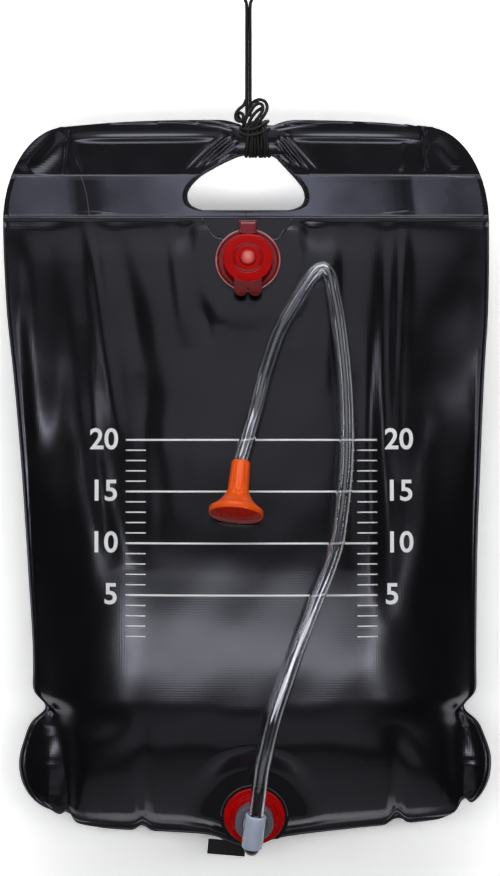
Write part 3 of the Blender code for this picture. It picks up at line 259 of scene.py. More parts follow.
# Filler
FLANGE_RADIUS = 0.0263
FLANGE_THICKNESS = 0.0014
FLANGE_LIP = 0.0012
NECK_BORE = 0.0125
NECK_WALL = 0.0022
NECK_HEIGHT = 0.0062
NECK_STUB = 0.003
CAP_RADIUS = 0.0205
CAP_THICKNESS = 0.0024
CAP_ROUND = 0.0008
GROOVE_RADIUS = 0.0116
GROOVE_WIDTH = 0.0012
GROOVE_DEPTH = 0.0007
GROOVE_BEAD = 0.00096
DOME_RADIUS = 0.0068
DOME_HEIGHT = 0.0028
DOME_STEPS = 8
FLANGE_RIM = 0.0005
FLANGE_ROUND = 0.0005
SKIN = 0.0001
PLUG_RADIUS = 0.01215
PLUG_DEPTH = 0.005
PLUG_WALL = 0.0016
PLUG_TAPER = 0.0006
TAB_WIDTH = 0.023
TAB_REACH = 0.032
TAB_THICKNESS = 0.0016
TAB_ROUND = 0.0004
TAB_ROUND_STEPS = 2
TAB_ROUND_SHARE = 0.6
TAB_ARC_STEP = 10
TAB_ARCS = ((180, 331), (210, 361))
TAB_NOTCH_RADIUS = 0.0016
STRAP_WIDTH = 0.0145
STRAP_THICKNESS = 0.0012
STRAP_REACH = 0.0285
STRAP_BEND_STEPS = 12
STRAP_STEPS = 6

# Outlet and T connector
OUTLET_RADIUS = 0.025
OUTLET_THICKNESS = 0.0018
OUTLET_ROUND = 0.0008
OUTLET_STUB = 0.003
OUTLET_BOSS_RADIUS = 0.0185
OUTLET_BOSS_HEIGHT = 0.003
COLLAR_RADIUS = 0.0157
COLLAR_BORE = 0.0098
COLLAR_HEIGHT = 0.0116
ELBOW_TURN = math.radians(-7)
ELBOW_REACH = 0.0266
ELBOW_RADIUS = 0.0086
ELBOW_BORE = 0.0052
ELBOW_TOP = 0.0118
ELBOW_BOTTOM = 0.0168
BARREL_ROUND = 0.0012
SPIGOT_RADIUS = 0.0092
SPIGOT_LENGTH = 0.0135
SPIGOT_ROUND = 0.0006
SPIGOT_ROOT_SHARE = 0.7
BARB_RADIUS = 0.0048
BARB_LENGTH = 0.023
BARB_DEPTH = 0.0095
BARB_STEP = 0.0005
BARB_WALL = 0.0016
BARB_ROUND = 0.0002
BARBS = 4
PLUG_CAP_RADIUS = 0.0064
PLUG_CAP_TIP = 0.0034
PLUG_CAP_HEIGHT = 0.006
PLUG_ROUND = 0.001

# Hose and spray head
HOSE_DIAMETER = 0.013
HOSE_BORE = 0.0103
HOSE_SPACING = 0.003
HOSE_SIDES = 40
HOSE_BEND_START = -0.690
HOSE_BEND_END = -0.600
SPRAY_PLACE = (-0.0040, -0.0580, -0.4128)
SPRAY_LEAN = math.radians(5.3)
SPRAY_TILT = math.radians(19)
HEAD_NECK_RADIUS = 0.0077
HEAD_NECK_LENGTH = 0.024
HEAD_WAIST_RADIUS = 0.0086
HEAD_RADIUS = 0.0222
HEAD_LENGTH = 0.0455
HEAD_RIM = 0.0042
HEAD_WALL = 0.0016
HEAD_LAND = 0.005
LAND_DEPTH = 0.0215
STEM_RADIUS = 0.0048
LAND_CLEARANCE = 0.0006
STEM_STOP = 0.0061
STEM_COLLAR_LENGTH = 0.003
ROSE_THICKNESS = 0.0016
ROSE_CROWN = 0.0032
CROWN_STEPS = 12
ROSE_HOLE_RADIUS = 0.0009
ROSE_RING_RADII = (0.0075, 0.0125, 0.017)
ROSE_RING_COUNTS = (6, 9, 12)
HOSE_LEAD = 0.002
FLARE_STEPS = 26
FLARE_SHARES = ((0, 0), (0.1, 0.22), (0.32, 0.5), (0.66, 0.78), (0.92, 0.93), (1, 1))
HOSE_ROUTE = (
    (0.013, -0.0583, -0.662), (0.0166, -0.0618, -0.645), (0.0228, -0.0648, -0.6197),
    (0.0316, -0.0662, -0.5929), (0.0405, -0.066, -0.567), (0.0507, -0.0642, -0.54),
    (0.0591, -0.0617, -0.5187), (0.0672, -0.0589, -0.4986), (0.0738, -0.0554, -0.4776),
    (0.0771, -0.0517, -0.4567), (0.0797, -0.0479, -0.4364), (0.0815, -0.0441, -0.4153),
    (0.0821, -0.0402, -0.3926), (0.0815, -0.0344, -0.36), (0.0792, -0.0291, -0.3273),
    (0.0752, -0.0243, -0.2945), (0.0712, -0.0214, -0.2735), (0.0688, -0.0197, -0.2615),
    (0.0635, -0.0188, -0.2548), (0.057, -0.0191, -0.2585), (0.051, -0.0203, -0.266),
    (0.044, -0.0222, -0.277), (0.0278, -0.0281, -0.3052), (0.0163, -0.0342, -0.338),
    (0.0088, -0.0408, -0.368), (0.0038, -0.0473, -0.385), (0, -0.0523, -0.3985),
)

# Cord
CORD_DIAMETER = 0.0029
CORD_X = 0.002
CORD_SPACING = 0.00285
LOOP_WIDTH = 0.020
LOOP_LENGTH = 0.036
CORD_FOOT = 0.1290
LOOP_STEPS = 8
LOOP_SHARES = ((0.12, 0.2), (0.45, 0.48), (0.83, 0.76))
HITCH_TURNS = 8
HITCH_PITCH = 0.0027
HITCH_NARROW = 0.62
HITCH_LAYER = 0.0013
HITCH_SLANT = 0.0006
HITCH_PLAY = 0.001
HITCH_STEPS = 48
CORD_STEP = 0.0007
CORD_SIDES = 18
BRAID_PITCH = 0.0042
BRAID_STRANDS = 4
BRAID_DEPTH = 0.00012

# Strands of the knot, in millimetres
KNOT_STRANDS = (
    (
        (0, 0, -115.2), (-2.1, -1, -119.7), (-5.8, -1.5, -123), (-8.4, -2, -127.2), (-8, -2.5, -131.4),
        (-5.1, -3, -133), (-2.4, -3, -130.9), (-2.5, -2, -127.6), (-4.9, 0, -125.8), (-6.6, 2.5, -127.6),
        (-4.1, 3.5, -132.1), (0.8, 4, -135.8),
    ),
    (
        (2.5, 3, -122.6), (4.1, 1.5, -118.9), (7.4, 0.5, -116), (11.5, 0, -114.9), (15.5, -0.5, -116.5),
        (17.4, -1.5, -120.6), (16.5, -3, -125.1), (13.2, -4.5, -130.4), (9.1, -5.5, -135.4),
        (3.3, -5.5, -138.7), (-2.1, -3, -139.9), (-4.9, 0, -140.7),
    ),
    (
        (4.1, 2, -124.3), (6.2, 0, -121), (9.1, -1, -118.7), (12.2, -1.5, -118.5), (14, -2.5, -121.4),
        (12.8, -4.5, -125.9), (9.1, -6, -131.3), (4.9, -6.5, -136.2), (0.8, -5, -139.1),
    ),
    (
        (10.3, 1.5, -117.3), (7, -1.8, -120.2), (3.7, -3.6, -124.3), (0.8, -4.4, -129.2),
        (-1.2, -4.2, -134.1), (-2.5, -2, -138.3),
    ),
    (
        (13.2, -0.5, -121.8), (9.5, -3.8, -124.3), (5.8, -5.4, -128.4), (2.9, -6, -133.3),
        (1.2, -5.4, -138.3), (0.7, -3.6, -142.4),
    ),
    (
        (-6.2, 1, -136.6), (-3.3, -4.4, -139.5), (2.5, -7.4, -140.4), (9.1, -7.8, -138.8),
        (14.8, -5, -135.5), (18.1, -0.5, -132.9), (15.6, 4, -132.9), (6.6, 6, -135.8), (-2.5, 5, -138.3),
        (-6.2, 1, -141.1), (-3.7, -4.6, -143.7), (2.5, -8, -145), (9.9, -8.4, -143.9), (16.5, -5.6, -140.7),
        (20.2, -1, -138.7), (18.9, 3.5, -138.7), (13.2, 6, -139.9),
    ),
)

# Printed level scale, in litres of the filled bag
MARK_LEVELS = ((20, -0.395), (15, -0.437), (10, -0.479), (5, -0.521))
MARK_LEFT = -0.098
MARK_RIGHT = 0.107
MARK_LINE = 0.0016
MARK_SHORT = 0.0165
MARK_STEP = 0.0084
MARK_GAP = 0.006
NUMBER_SIZE = 0.024
MARK_LIFT = 0.0003
MARK_CELL = 0.003
MARK_THICKNESS = 0.00012
MARKS_BETWEEN = 4
NUMBER_WEIGHT = 0.0004
NUMBER_STEPS = 4
NUMBER_CUTS = 2

# Finishes: noise as scale and detail, tints as two colours, roughness and patches as low and high
THREAD_PITCH = 0.0021
THREAD_SHARE = 0.35
FILM_GLOSS = {"Specular_Tint": (0.84, 0.85, 1.0, 1.0), "IOR": 1.5, "Specular_IOR_Level": 0.8}
FILM_CLOUD, FILM_SMEAR, FILM_DENTS = (9, 3), (38, 5), (240, 3)
FILM_TINTS = ((0.0016, 0.0016, 0.0022), (0.0027, 0.0027, 0.0036))
FILM_ROUGHNESS = 0.20
BACK_TINTS = ((0.0036, 0.0036, 0.0046), (0.0052, 0.0052, 0.0066))
BACK_ROUGHNESS = 0.32
GLOSS_SPREAD = 0.05
DENT_DEPTH = 0.00004
FILM_BUMP = 0.45
BAND_CLOUD, BAND_PATCHES, BAND_ROUGHNESS = (30, 6), (0.35, 1.65), (0.18, 0.46)
BAND_DARK, BAND_SHEEN_TINT = (0.0016, 0.0016, 0.0022), (0.085, 0.088, 0.125)
PLASTIC_CLOUD, PLASTIC_SMEAR, PLASTIC_SKIN = (90, 3), (320, 4), (900, 2)
PLASTIC_SMOOTHEST = 0.02
PLASTIC_SPREAD = 0.06
PLASTIC_GRAIN = 0.00003
PLASTIC_BUMP = 0.4
CLEAR_GLOSS = {
    "Transmission_Weight": 1.0, "IOR": 1.45, "Specular_IOR_Level": 0.9, "Coat_Weight": 1.0, "Coat_IOR": 1.7,
}
CLEAR_CLOUD, CLEAR_SMEAR, CLEAR_ROUGHNESS = (30, 2), (160, 2), (0.0, 0.03)
CLEAR_TINTS = ((0.90, 0.91, 1.0), (0.96, 0.97, 1.0))
SOFT_DEPTH = {"Subsurface_Weight": 0.1, "Subsurface_Scale": 0.003}
DOME_GLOSS = {"Specular_IOR_Level": 0.4, **SOFT_DEPTH}
DOME_CLOUD, DOME_PATCHES, DOME_ROUGHNESS = (400, 3), (0.8, 1.2), (0.25, 0.4)
# The dome's red, and the pale pink of the highlight painted round its top
DOME_RED_AND_HIGHLIGHT = ((0.42, 0.002, 0.003), (0.90, 0.22, 0.19))
CORD_GLOSS = {"Roughness": 0.55, "Specular_IOR_Level": 0.35}
CORD_FIBRE = (2600, 3)
CORD_TINTS = ((0.0012, 0.0012, 0.0016), (0.0060, 0.0060, 0.0072))
CORD_GRAIN = 0.0001
CORD_BUMP = 0.6
GLOSS = "Specular_IOR_Level"
THROUGH = "Transmission_Weight"

# Plastics: key, name, the two colours that cloud it, roughness, and the shader's other values
PLASTICS = (
    # A lighter grey than the film: painted sheen on the weld and crease beads
    ("weld", "weld_line", (0.045, 0.045, 0.056), (0.090, 0.090, 0.110), 0.32, {GLOSS: 0.9}),
    ("strip", "black_strip", (0.0010, 0.0010, 0.0014), (0.0022, 0.0022, 0.0028), 0.55, {GLOSS: 0.25}),
    ("rim", "welded_rim", (0.0016, 0.0016, 0.0022), (0.003, 0.003, 0.004), 0.26, {}),
    ("red", "red_plastic", (0.33, 0.0004, 0.0010), (0.48, 0.0008, 0.0016), 0.14, {GLOSS: 0.15, **SOFT_DEPTH}),
    # A darker copy of the cap's red: painted shade in the groove on the cap's face
    ("deep_red", "deep_red_plastic", (0.15, 0.0004, 0.0010), (0.22, 0.0008, 0.0014), 0.2, {GLOSS: 0.3}),
    # A darker copy of the cap's red: painted shade on the cap's tab
    ("tab_red", "tab_red_plastic", (0.085, 0.0004, 0.0012), (0.15, 0.0008, 0.0020), 0.16, {GLOSS: 0.5}),
    (
        "tether_red", "tether_red_plastic", (0.20, 0.003, 0.012), (0.27, 0.005, 0.018), 0.22,
        {THROUGH: 0.3, GLOSS: 0.6},
    ),
    # A paler red: painted highlight on the flange's outer edge
    ("pale_red", "pale_red_plastic", (0.42, 0.16, 0.17), (0.55, 0.24, 0.25), 0.18, {GLOSS: 0.8}),
    (
        "clear_red", "clear_red_plastic", (0.40, 0.006, 0.010), (0.50, 0.010, 0.016), 0.14,
        {THROUGH: 0.6, "IOR": 1.5, "Coat_Weight": 0.3},
    ),
    ("outlet_red", "outlet_red_plastic", (0.40, 0.0004, 0.0008), (0.66, 0.0008, 0.0012), 0.26, {GLOSS: 0.15}),
    (
        "clear_grey", "clear_grey_plastic", (0.22, 0.22, 0.28), (0.30, 0.30, 0.37), 0.24,
        {THROUGH: 0.45, "IOR": 1.48},
    ),
    (
        "milky", "milky_plastic", (0.42, 0.48, 0.63), (0.56, 0.62, 0.76), 0.2,
        {"Subsurface_Weight": 0.3, "Subsurface_Scale": 0.004, "Coat_Weight": 0.15},
    ),
    ("black", "black_plastic", (0.006, 0.006, 0.007), (0.011, 0.011, 0.012), 0.3, {}),
    ("rubber", "black_rubber", (0.010, 0.010, 0.010), (0.016, 0.016, 0.016), 0.65, {}),
    (
        "orange", "orange_plastic", (0.84, 0.085, 0.003), (0.95, 0.115, 0.006), 0.18,
        {GLOSS: 0.2, **SOFT_DEPTH},
    ),
    # A darker orange for the rose: painted shade on the head's underside
    ("dark_orange", "dark_orange_plastic", (0.50, 0.010, 0.002), (0.62, 0.020, 0.003), 0.24, {GLOSS: 0.35}),
    ("print", "white_print", (0.80, 0.80, 0.82), (0.86, 0.86, 0.88), 0.42, {}),
)

# Stage and light
WALL_Y = 0.058
WALL_SIZE = 3.0
FLOOR_Z = -2.3
WORLD_LIGHT = 0.03
WORLD_FADE = 0.25
WALL_GLOW = 0.04
WALL_WHITE = 1.8
FLOOR_SHADE = 0.6
FLOOR_ROUGHNESS = 0.6

# Lamps: name, place, what it aims at, size, power and shape
LAMPS = (
    ("belly_light", (0.0, -1.45, -0.60), (0, 0, -0.58), (2.6, 0.44), 8.6, "ELLIPSE"),
    ("front_light", (0.0, -1.55, 0.52), (0, 0, -0.45), (1.2, 0.90), 1.6, "RECTANGLE"),
    ("left_low_light", (-1.10, -1.42, -0.52), (0, 0, -0.50), (0.12, 0.44), 1.1, "RECTANGLE"),
    ("right_low_light", (1.10, -1.42, -0.56), (0, 0, -0.50), (0.12, 0.52), 1.1, "RECTANGLE"),
    ("left_high_light", (-1.38, -1.16, 0.32), (0, 0, -0.25), (0.12, 0.7), 1.9, "RECTANGLE"),
    ("right_high_light", (1.38, -1.16, 0.32), (0, 0, -0.25), (0.12, 0.7), 0.9, "RECTANGLE"),
    ("top_light", (0.0, -1.1, 1.60), (0, 0, -0.35), (2.4, 1.3), 34, "RECTANGLE"),
    ("low_light", (0.0, -1.9, -1.75), (0, 0, -0.65), (2.8, 0.6), 1.5, "RECTANGLE"),
    ("back_light", (0.4, 1.6, 0.7), (0, 0, -0.4), (1.2, 1.2), 16, "RECTANGLE"),
)

# Steps and small sizes
MM = 0.001
SMALL = 0.00002
SHARP = math.radians(40)
PROFILE_PART = 2.2
OUTLINE_PART = 2.1
TURN_STEPS = 96
HOLE_STEPS = 12
ROUND_STEPS = 4
STRAIGHT_SHARES = (0, 0.25, 0.5, 0.75, 1)
OUTLINE_STEPS = 12
EDGE_SAMPLES = 900
CURVE_SAMPLES = 600


# Numbers


def fade(near, far, place):
    """1 up to near, 0 past far, and a smooth step between them."""
    t = np.clip((far - place) / (far - near), 0, 1)
    return t * t * (3 - 2 * t)


def smooth_table(shares, count=CURVE_SAMPLES):
    """Samples of a smooth curve through (place, value) shares that never overshoots them."""
    places = np.array([share[0] for share in shares], float)
    values = np.array([share[1] for share in shares], float)
    slopes = np.diff(values) / np.diff(places)
    product = slopes[:-1] * slopes[1:]
    total = slopes[:-1] + slopes[1:]
    bends = np.zeros(len(places))
    bends[1:-1] = np.where(product > 0, 2 * product / np.where(product > 0, total, 1), 0)
    spots = np.linspace(places[0], places[-1], count)
    k = np.clip(np.searchsorted(places, spots, side="right") - 1, 0, len(slopes) - 1)
    span = places[k + 1] - places[k]
    t = (spots - places[k]) / span
    rise = values[k + 1] - values[k]
    squared = (3 * rise - span * (2 * bends[k] + bends[k + 1])) * t**2
    cubed = (span * (bends[k] + bends[k + 1]) - 2 * rise) * t**3
    return spots, values[k] + bends[k] * span * t + squared + cubed


LEFT_INSET = smooth_table(LEFT_INSET_SHARES)
RIGHT_INSET = smooth_table(RIGHT_INSET_SHARES)
BOTTOM_EDGE = smooth_table(BOTTOM_EDGE_SHARES)
BULGE_CURVE = smooth_table(BULGE_SHARES)


def read(table, place):
    return np.interp(place, table[0], table[1])


def smooth_route(points, spacing):
    """Points about a spacing apart on one smooth curve through the given ones."""
    ends = [Vector(point) for point in points]
    ends = [2 * ends[0] - ends[1], *ends, 2 * ends[-1] - ends[-2]]
    route = [ends[1]]
    for before, start, end, after in zip(ends, ends[1:], ends[2:], ends[3:]):
        count = max(1, round((end - start).length / spacing))
        for step in range(1, count + 1):
            t = step / count
            way = (
                2 * start
                + (end - before) * t
                + (2 * before - 5 * start + 4 * end - after) * t * t
                + (3 * start - before - 3 * end + after) * t * t * t
            )
            route.append(way / 2)
    return route


def nearest_on(line, x, z):
    """Distance of each point to a line of (x, z) corners, and the share of the line where it is nearest."""
    corners = np.array(line, float)
    lengths = np.hypot(*np.diff(corners, axis=0).T)
    starts = np.concatenate([[0], np.cumsum(lengths)])
    best = np.full(np.shape(x), np.inf)
    share = np.zeros(np.shape(x))
    for k, length in enumerate(lengths):
        (ax, az), (bx, bz) = corners[k], corners[k + 1]
        t = np.clip(((x - ax) * (bx - ax) + (z - az) * (bz - az)) / length**2, 0, 1)
        gap = np.hypot(x - ax - t * (bx - ax), z - az - t * (bz - az))
        closer = gap < best
        best = np.where(closer, gap, best)
        share = np.where(closer, (starts[k] + t * length) / starts[-1], share)
    return best, share


# Bag surface: u runs from -1 at the left edge to 1 at the right, and level from 0 at the top to 1


def quarter(width, share):
    return width * (1 - np.sqrt(np.clip(1 - (1 - np.clip(share, 0, 1)) ** 2, 0, 1)))


def edge_inset(level, table):
    top = quarter(TOP_CORNER[0], level * SIDE_HEIGHT / TOP_CORNER[1])
    bottom = quarter(BOTTOM_CORNER[0], (1 - level) * SIDE_HEIGHT / BOTTOM_CORNER[1])
    return BAG_WIDTH * read(table, level) + top + bottom


def notch_share(level):
    """1 at the notches of the side edges, and 0 away from them."""
    off = ((1 - level) * SIDE_HEIGHT - NOTCH_RISE) / NOTCH_SPREAD
    return np.exp(-off * off)


def pinch(x):
    return np.exp(-(((x - PINCH_X) / PINCH_SPREAD) ** PINCH_POWER))


def header_level():
    return (HEADER_HEIGHT - TOP_CROWN) / SIDE_HEIGHT


def chamber_share(level):
    """0 at the header's foot and above it, and 1 at the bag's foot."""
    return np.maximum(0, level - header_level()) / (1 - header_level())


def header_share(level):
    return fade(header_level(), header_level() + HEADER_FADE / SIDE_HEIGHT, level)


def hitch_half_width():
    return HITCH_PITCH * HITCH_TURNS / 2 + CORD_DIAMETER / 2 + HITCH_PLAY


def pinch_dip(x):
    """How far the cord's turns hold the header's upper edge down."""
    slope = np.clip((np.abs(x - PINCH_X) - hitch_half_width()) / PINCH_SLOPE, 0, 1)
    return PINCH_DIP * (1 - slope) ** 2


def bag_point(u, level):
    left = -BAG_WIDTH / 2 + edge_inset(level, LEFT_INSET)
    right = BAG_WIDTH / 2 - edge_inset(level, RIGHT_INSET)
    x = left + (right - left) * (u + 1) / 2
    x = x - NOTCH_DEPTH * notch_share(level) * np.sign(u) * np.abs(u) ** NOTCH_POWER
    in_header = np.clip(1 - level / header_level(), 0, 1)
    crown = TOP_CROWN * (1 - np.abs(u) ** CROWN_POWER)
    dip = pinch_dip(x) * in_header
    sag = BOTTOM_SAG * read(BOTTOM_EDGE, u) * level**SAG_POWER
    z = -BAG_DROP - TOP_CROWN - SIDE_HEIGHT * level + crown * in_header - dip - sag
    foot = (1 - level) * SIDE_HEIGHT
    for place, depth, width in EDGE_GATHERS:
        z = z + depth * np.exp(-(((x - place) / width) ** 2) - foot / GATHER_REACH)
    return x, z


def slot_top():
    return BAG_TOP - SLOT_DROP + SLOT_HEIGHT


def bag_bulge(u, level, bulge):
    inside = 1 - 2 * HEM / BAG_WIDTH
    across = np.minimum(np.abs(u) / inside, 1)
    power = EDGE_ROUNDNESS + EDGE_ROUNDNESS_RISE * level**ROUNDNESS_POWER
    body = bulge * read(BULGE_CURVE, chamber_share(level)) * (1 - across**power)
    x, z = bag_point(u, level)
    head = BAG_TOP - PINCH_DIP
    off = (2 * z - slot_top() - head) / (head - slot_top())
    gathered = PINCH_BULGE * pinch(x) * np.sqrt(np.clip(1 - off * off, 0, 1))
    return body + gathered


def film_offset(level):
    spread = (LINER_THICKNESS + SEAM_GAP) / 2
    return SEAM_GAP / 2 + FILM + spread * header_share(level)


def metres(points):
    return [tuple(value * MM for value in point) for point in points]


def fold_height(folds, x, z):
    """Sum of the folds in a table: each a soft ridge along its line that runs out at both ends."""
    total = np.zeros(np.shape(x))
    for height, width, line in folds:
        route = smooth_route([(across, 0, up) for across, up in metres(line)], FOLD_SPACING)
        curve = np.array([(spot.x, spot.z) for spot in route])
        width = width * MM
        reach = FOLD_REACH * width
        low, high = curve.min(axis=0) - reach, curve.max(axis=0) + reach
        near = (x > low[0]) & (x < high[0]) & (z > low[1]) & (z < high[1])
        gap, share = nearest_on(curve, x[near], z[near])
        ends = 1 - np.abs(2 * share - 1) ** FOLD_END_POWER
        total[near] += height * MM * np.exp(-((gap / width) ** 2)) * ends
    return total


def film_waves(x, z):
    """Faint unevenness of the whole film: a few crossing waves."""
    total = np.zeros(np.shape(x))
    for height, across, up, start in FILM_WAVES:
        total += height * np.sin(across * x + up * z + start)
    return total


def side_reach(u, level):
    """Distance to the nearest side edge and to the foot."""
    return (1 - np.abs(u)) * BAG_WIDTH / 2, (1 - level) * SIDE_HEIGHT


def gather_share(u, level, x):
    """What the gathers at the notches take from the swell near them."""
    side, foot = side_reach(u, level)
    taken = np.zeros(np.shape(x))
    for place, _, width in EDGE_GATHERS:
        near = np.exp(-(((x - place) / (GATHER_CREASE_SPREAD * width)) ** 2) - foot / GATHER_REACH)
        taken = np.maximum(taken, near)
    taken = np.maximum(taken, notch_share(level) * np.exp(-side / GATHER_REACH))
    return 1 - GATHER_CREASE_SHARE * taken


def ripple(u, level, x, z):
    """Small puckers along the welded hem of the swollen part."""
    side, foot = side_reach(u, level)
    near_side = np.exp(-side / RIPPLE_REACH) * fade(*RIPPLE_FADE, z)
    near_foot = np.exp(-foot / RIPPLE_REACH)
    drift_x = RIPPLE_DRIFT * np.sin(RIPPLE_DRIFT_ACROSS * x / EDGE_RIPPLE_PITCH)
    drift_z = RIPPLE_DRIFT * np.sin(RIPPLE_DRIFT_DOWN * z / EDGE_RIPPLE_PITCH)
    across = np.sin(math.tau * x / EDGE_RIPPLE_PITCH + drift_x)
    down = np.sin(math.tau * z / EDGE_RIPPLE_PITCH + drift_z)
    return EDGE_RIPPLE * (near_foot * across + near_side * down)


def seat_share(place, radius, x, z):
    reach = radius + SEAT_MARGIN
    return fade(reach, reach + SEAT_FADE, np.hypot(x - place[0], z - place[2]))


def hem_share(u, level):
    side, foot = side_reach(u, level)
    return 1 - fade(HEM, HEM_FADE, np.minimum(side, foot))


def hem_shape(u, level):
    """The welded hem leans back to its edge, with a fine bead along its inner side."""
    side, foot = side_reach(u, level)
    reach = np.minimum(side, foot)
    lean = HEM_LEAN * (1 - np.clip(reach / HEM, 0, 1)) ** 2
    bead = HEM_BEAD * np.exp(-(((reach - HEM) / HEM_BEAD_WIDTH) ** 2))
    return bead - lean


def front_y(u, level):
    x, z = bag_point(u, level)
    hem = hem_share(u, level)
    swell = bag_bulge(u, level, BULGE) * gather_share(u, level, x)
    body = 1 - header_share(level)
    folds = fold_height(FOLDS, x, z) * hem
    folds += fold_height(HEADER_FOLDS, x, z) * header_share(level)
    for height, width in WELD_SINKS:
        folds -= width / 2 * np.exp(-(((z - height) / width) ** 2))
    folds += film_waves(x, z) * hem * body
    depth = film_offset(level) + swell + ripple(u, level, x, z) * hem * body + hem_shape(u, level) * body
    for place, radius, slope in (
        (FILLER_PLACE, FILLER_PATCH_RADIUS, math.tan(FILLER_TILT)),
        (OUTLET_PLACE, OUTLET_PATCH_RADIUS, -math.tan(OUTLET_TILT)),
    ):
        share = seat_share(place, radius, x, z) * hem * body
        plane = -place[1] - (z - place[2]) * slope
        depth = depth + (plane - depth) * share
        folds = folds * (1 - share)
    return -(depth + folds)


def back_y(u, level):
    x, z = bag_point(u, level)
    hem = hem_share(u, level)
    swell = bag_bulge(u, level, BACK_BULGE) * gather_share(u, level, x)
    folds = BACK_FOLD_SHARE * fold_height(FOLDS, -x, z) * hem
    depth = film_offset(level) + swell + ripple(u, level, -x, z) * hem * (1 - header_share(level))
    return np.maximum(depth + folds + hem_shape(u, level), 0)


# Places on the front film for what lies on it


class Surface:
    """Reads the front film's depth at any (x, z)."""

    def __init__(self, xs, ys, zs):
        self.rows = np.sort(zs.mean(axis=1))
        order = np.argsort(zs.mean(axis=1))
        self.grid = (xs[order], ys[order], zs[order])

    def depth(self, x, z):
        xs, ys, zs = self.grid
        out = np.empty(len(x))
        for k, (px, pz) in enumerate(zip(x, z)):
            row = int(np.clip(np.searchsorted(self.rows, pz), 1, len(self.rows) - 1))
            low, high = (np.interp(px, xs[r], ys[r]) for r in (row - 1, row))
            low_z, high_z = (np.interp(px, xs[r], zs[r]) for r in (row - 1, row))
            share = np.clip((pz - low_z) / (high_z - low_z), 0, 1)
            out[k] = low + (high - low) * share
        return out


# Mesh helpers


def add(name, mesh, finish, body="bag", replaced=()):
    made = bpy.data.objects.new(name, mesh)
    bpy.context.scene.collection.objects.link(made)
    mesh.materials.append(finish)
    if body:
        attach(made, body)
    if replaced:
        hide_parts(*replaced)
    return made


def mesh_of(bm, name, sharp=None):
    """A smooth mesh from an edit mesh, which is freed."""
    mesh = bpy.data.meshes.new(name)
    bm.to_mesh(mesh)
    bm.free()
    mesh.shade_smooth()
    if sharp:
        mesh.set_sharp_from_angle(angle=sharp)
    return mesh


def mesh_from(name, corners, faces, sharp=SHARP):
    mesh = bpy.data.meshes.new(name)
    mesh.from_pydata([tuple(corner) for corner in corners], [], faces)
    mesh.validate()
    bm = bmesh.new()
    bm.from_mesh(mesh)
    bmesh.ops.recalc_face_normals(bm, faces=bm.faces)
    bpy.data.meshes.remove(mesh)
    return mesh_of(bm, name, sharp)


def round_corners(points, radius, closed, part):
    """The points with a round at each corner, which takes at most one part of the sides beside it."""
    spots = [Vector(point) for point in points]
    out = []
    for k, here in enumerate(spots):
        if not closed and k in (0, len(spots) - 1):
            out.append(here)
            continue
        before, after = spots[k - 1], spots[(k + 1) % len(spots)]
        reach = min(radius, (before - here).length / part, (after - here).length / part)
        start = here + (before - here).normalized() * reach
        end = here + (after - here).normalized() * reach
        for step in range(ROUND_STEPS + 1):
            t = step / ROUND_STEPS
            out.append(start * (1 - t) ** 2 + here * 2 * t * (1 - t) + end * t * t)
    return out


def rounded(points, radius, closed=True):
    """The same profile with a small round at each corner."""
    return [(max(point[0], 0), point[1]) for point in round_corners(points, radius, closed, PROFILE_PART)]


def turned(name, profile, place, steps=TURN_STEPS):
    """A profile of (radius, height) points turned about local Z, closed to itself or at the axis."""
    closed = min(profile[0][0], profile[-1][0]) > SMALL
    corners, faces, rings = [], [], []
    for radius, height in profile:
        if radius <= SMALL:
            rings.append([len(corners)] * steps)
            corners.append((0, 0, height))
            continue
        rings.append(list(range(len(corners), len(corners) + steps)))
        for k in range(steps):
            angle = math.tau * k / steps
            corners.append((radius * math.cos(angle), radius * math.sin(angle), height))
    pairs = list(zip(rings, rings[1:])) + ([(rings[-1], rings[0])] if closed else [])
    for upper, lower in pairs:
        for k in range(steps):
            j = (k + 1) % steps
            face = list(dict.fromkeys((upper[k], lower[k], lower[j], upper[j])))
            if len(face) > 2:
                faces.append(face)
    corners = [place @ Vector(corner) for corner in corners]
    return mesh_from(name, corners, faces)


def swept(points, radius_at, sides):
    """Rings of corners round a line, each ring turned as little as it can be from the last."""
    spots = [Vector(point) for point in points]
    ways = [(after - before).normalized() for before, after in zip(spots[:1] + spots, spots[1:] + spots[-1:])]
    side = ways[0].orthogonal().normalized()
    rings = []
    run = 0.0
    for k, (spot, way) in enumerate(zip(spots, ways)):
        run += (spot - spots[k - 1]).length if k else 0
        side = (side - way * side.dot(way)).normalized()
        up = way.cross(side)
        ring = []
        for step in range(sides):
            angle = math.tau * step / sides
            radius = radius_at(run, angle)
            ring.append(spot + (side * math.cos(angle) + up * math.sin(angle)) * radius)
        rings.append(ring)
    return rings


def tube_faces(count, sides, offset=0):
    faces = []
    for row in range(count - 1):
        for k in range(sides):
            j = (k + 1) % sides
            first, second = offset + row * sides, offset + (row + 1) * sides
            faces.append((first + k, first + j, second + j, second + k))
    return faces


def tube(name, points, radius_at, sides):
    rings = swept(points, radius_at, sides)
    corners = [corner for ring in rings for corner in ring]
    faces = tube_faces(len(rings), sides)
    last = (len(rings) - 1) * sides
    faces += [tuple(range(sides))[::-1], tuple(range(last, last + sides))]
    return mesh_from(name, corners, faces)


def hollow_tube(name, points, outer, inner, sides):
    """A tube with a wall: the outside and the bore joined at both ends."""
    out = swept(points, lambda run, angle: outer, sides)
    bore = swept(points, lambda run, angle: inner, sides)
    count = len(out)
    corners = [corner for ring in out + bore for corner in ring]
    faces = tube_faces(count, sides) + tube_faces(count, sides, count * sides)
    for row in (0, count - 1):
        for k in range(sides):
            j = (k + 1) % sides
            first, second = row * sides, (count + row) * sides
            faces.append((first + k, first + j, second + j, second + k))
    return mesh_from(name, corners, faces)


def lathe(name, profile, place, finish, body, replaced=()):
    return add(name, turned(name, profile, place), finish, body, replaced)


def placed(point, tilt):
    return Matrix.Translation(point) @ Euler((math.pi / 2 - tilt, 0, 0)).to_matrix().to_4x4()


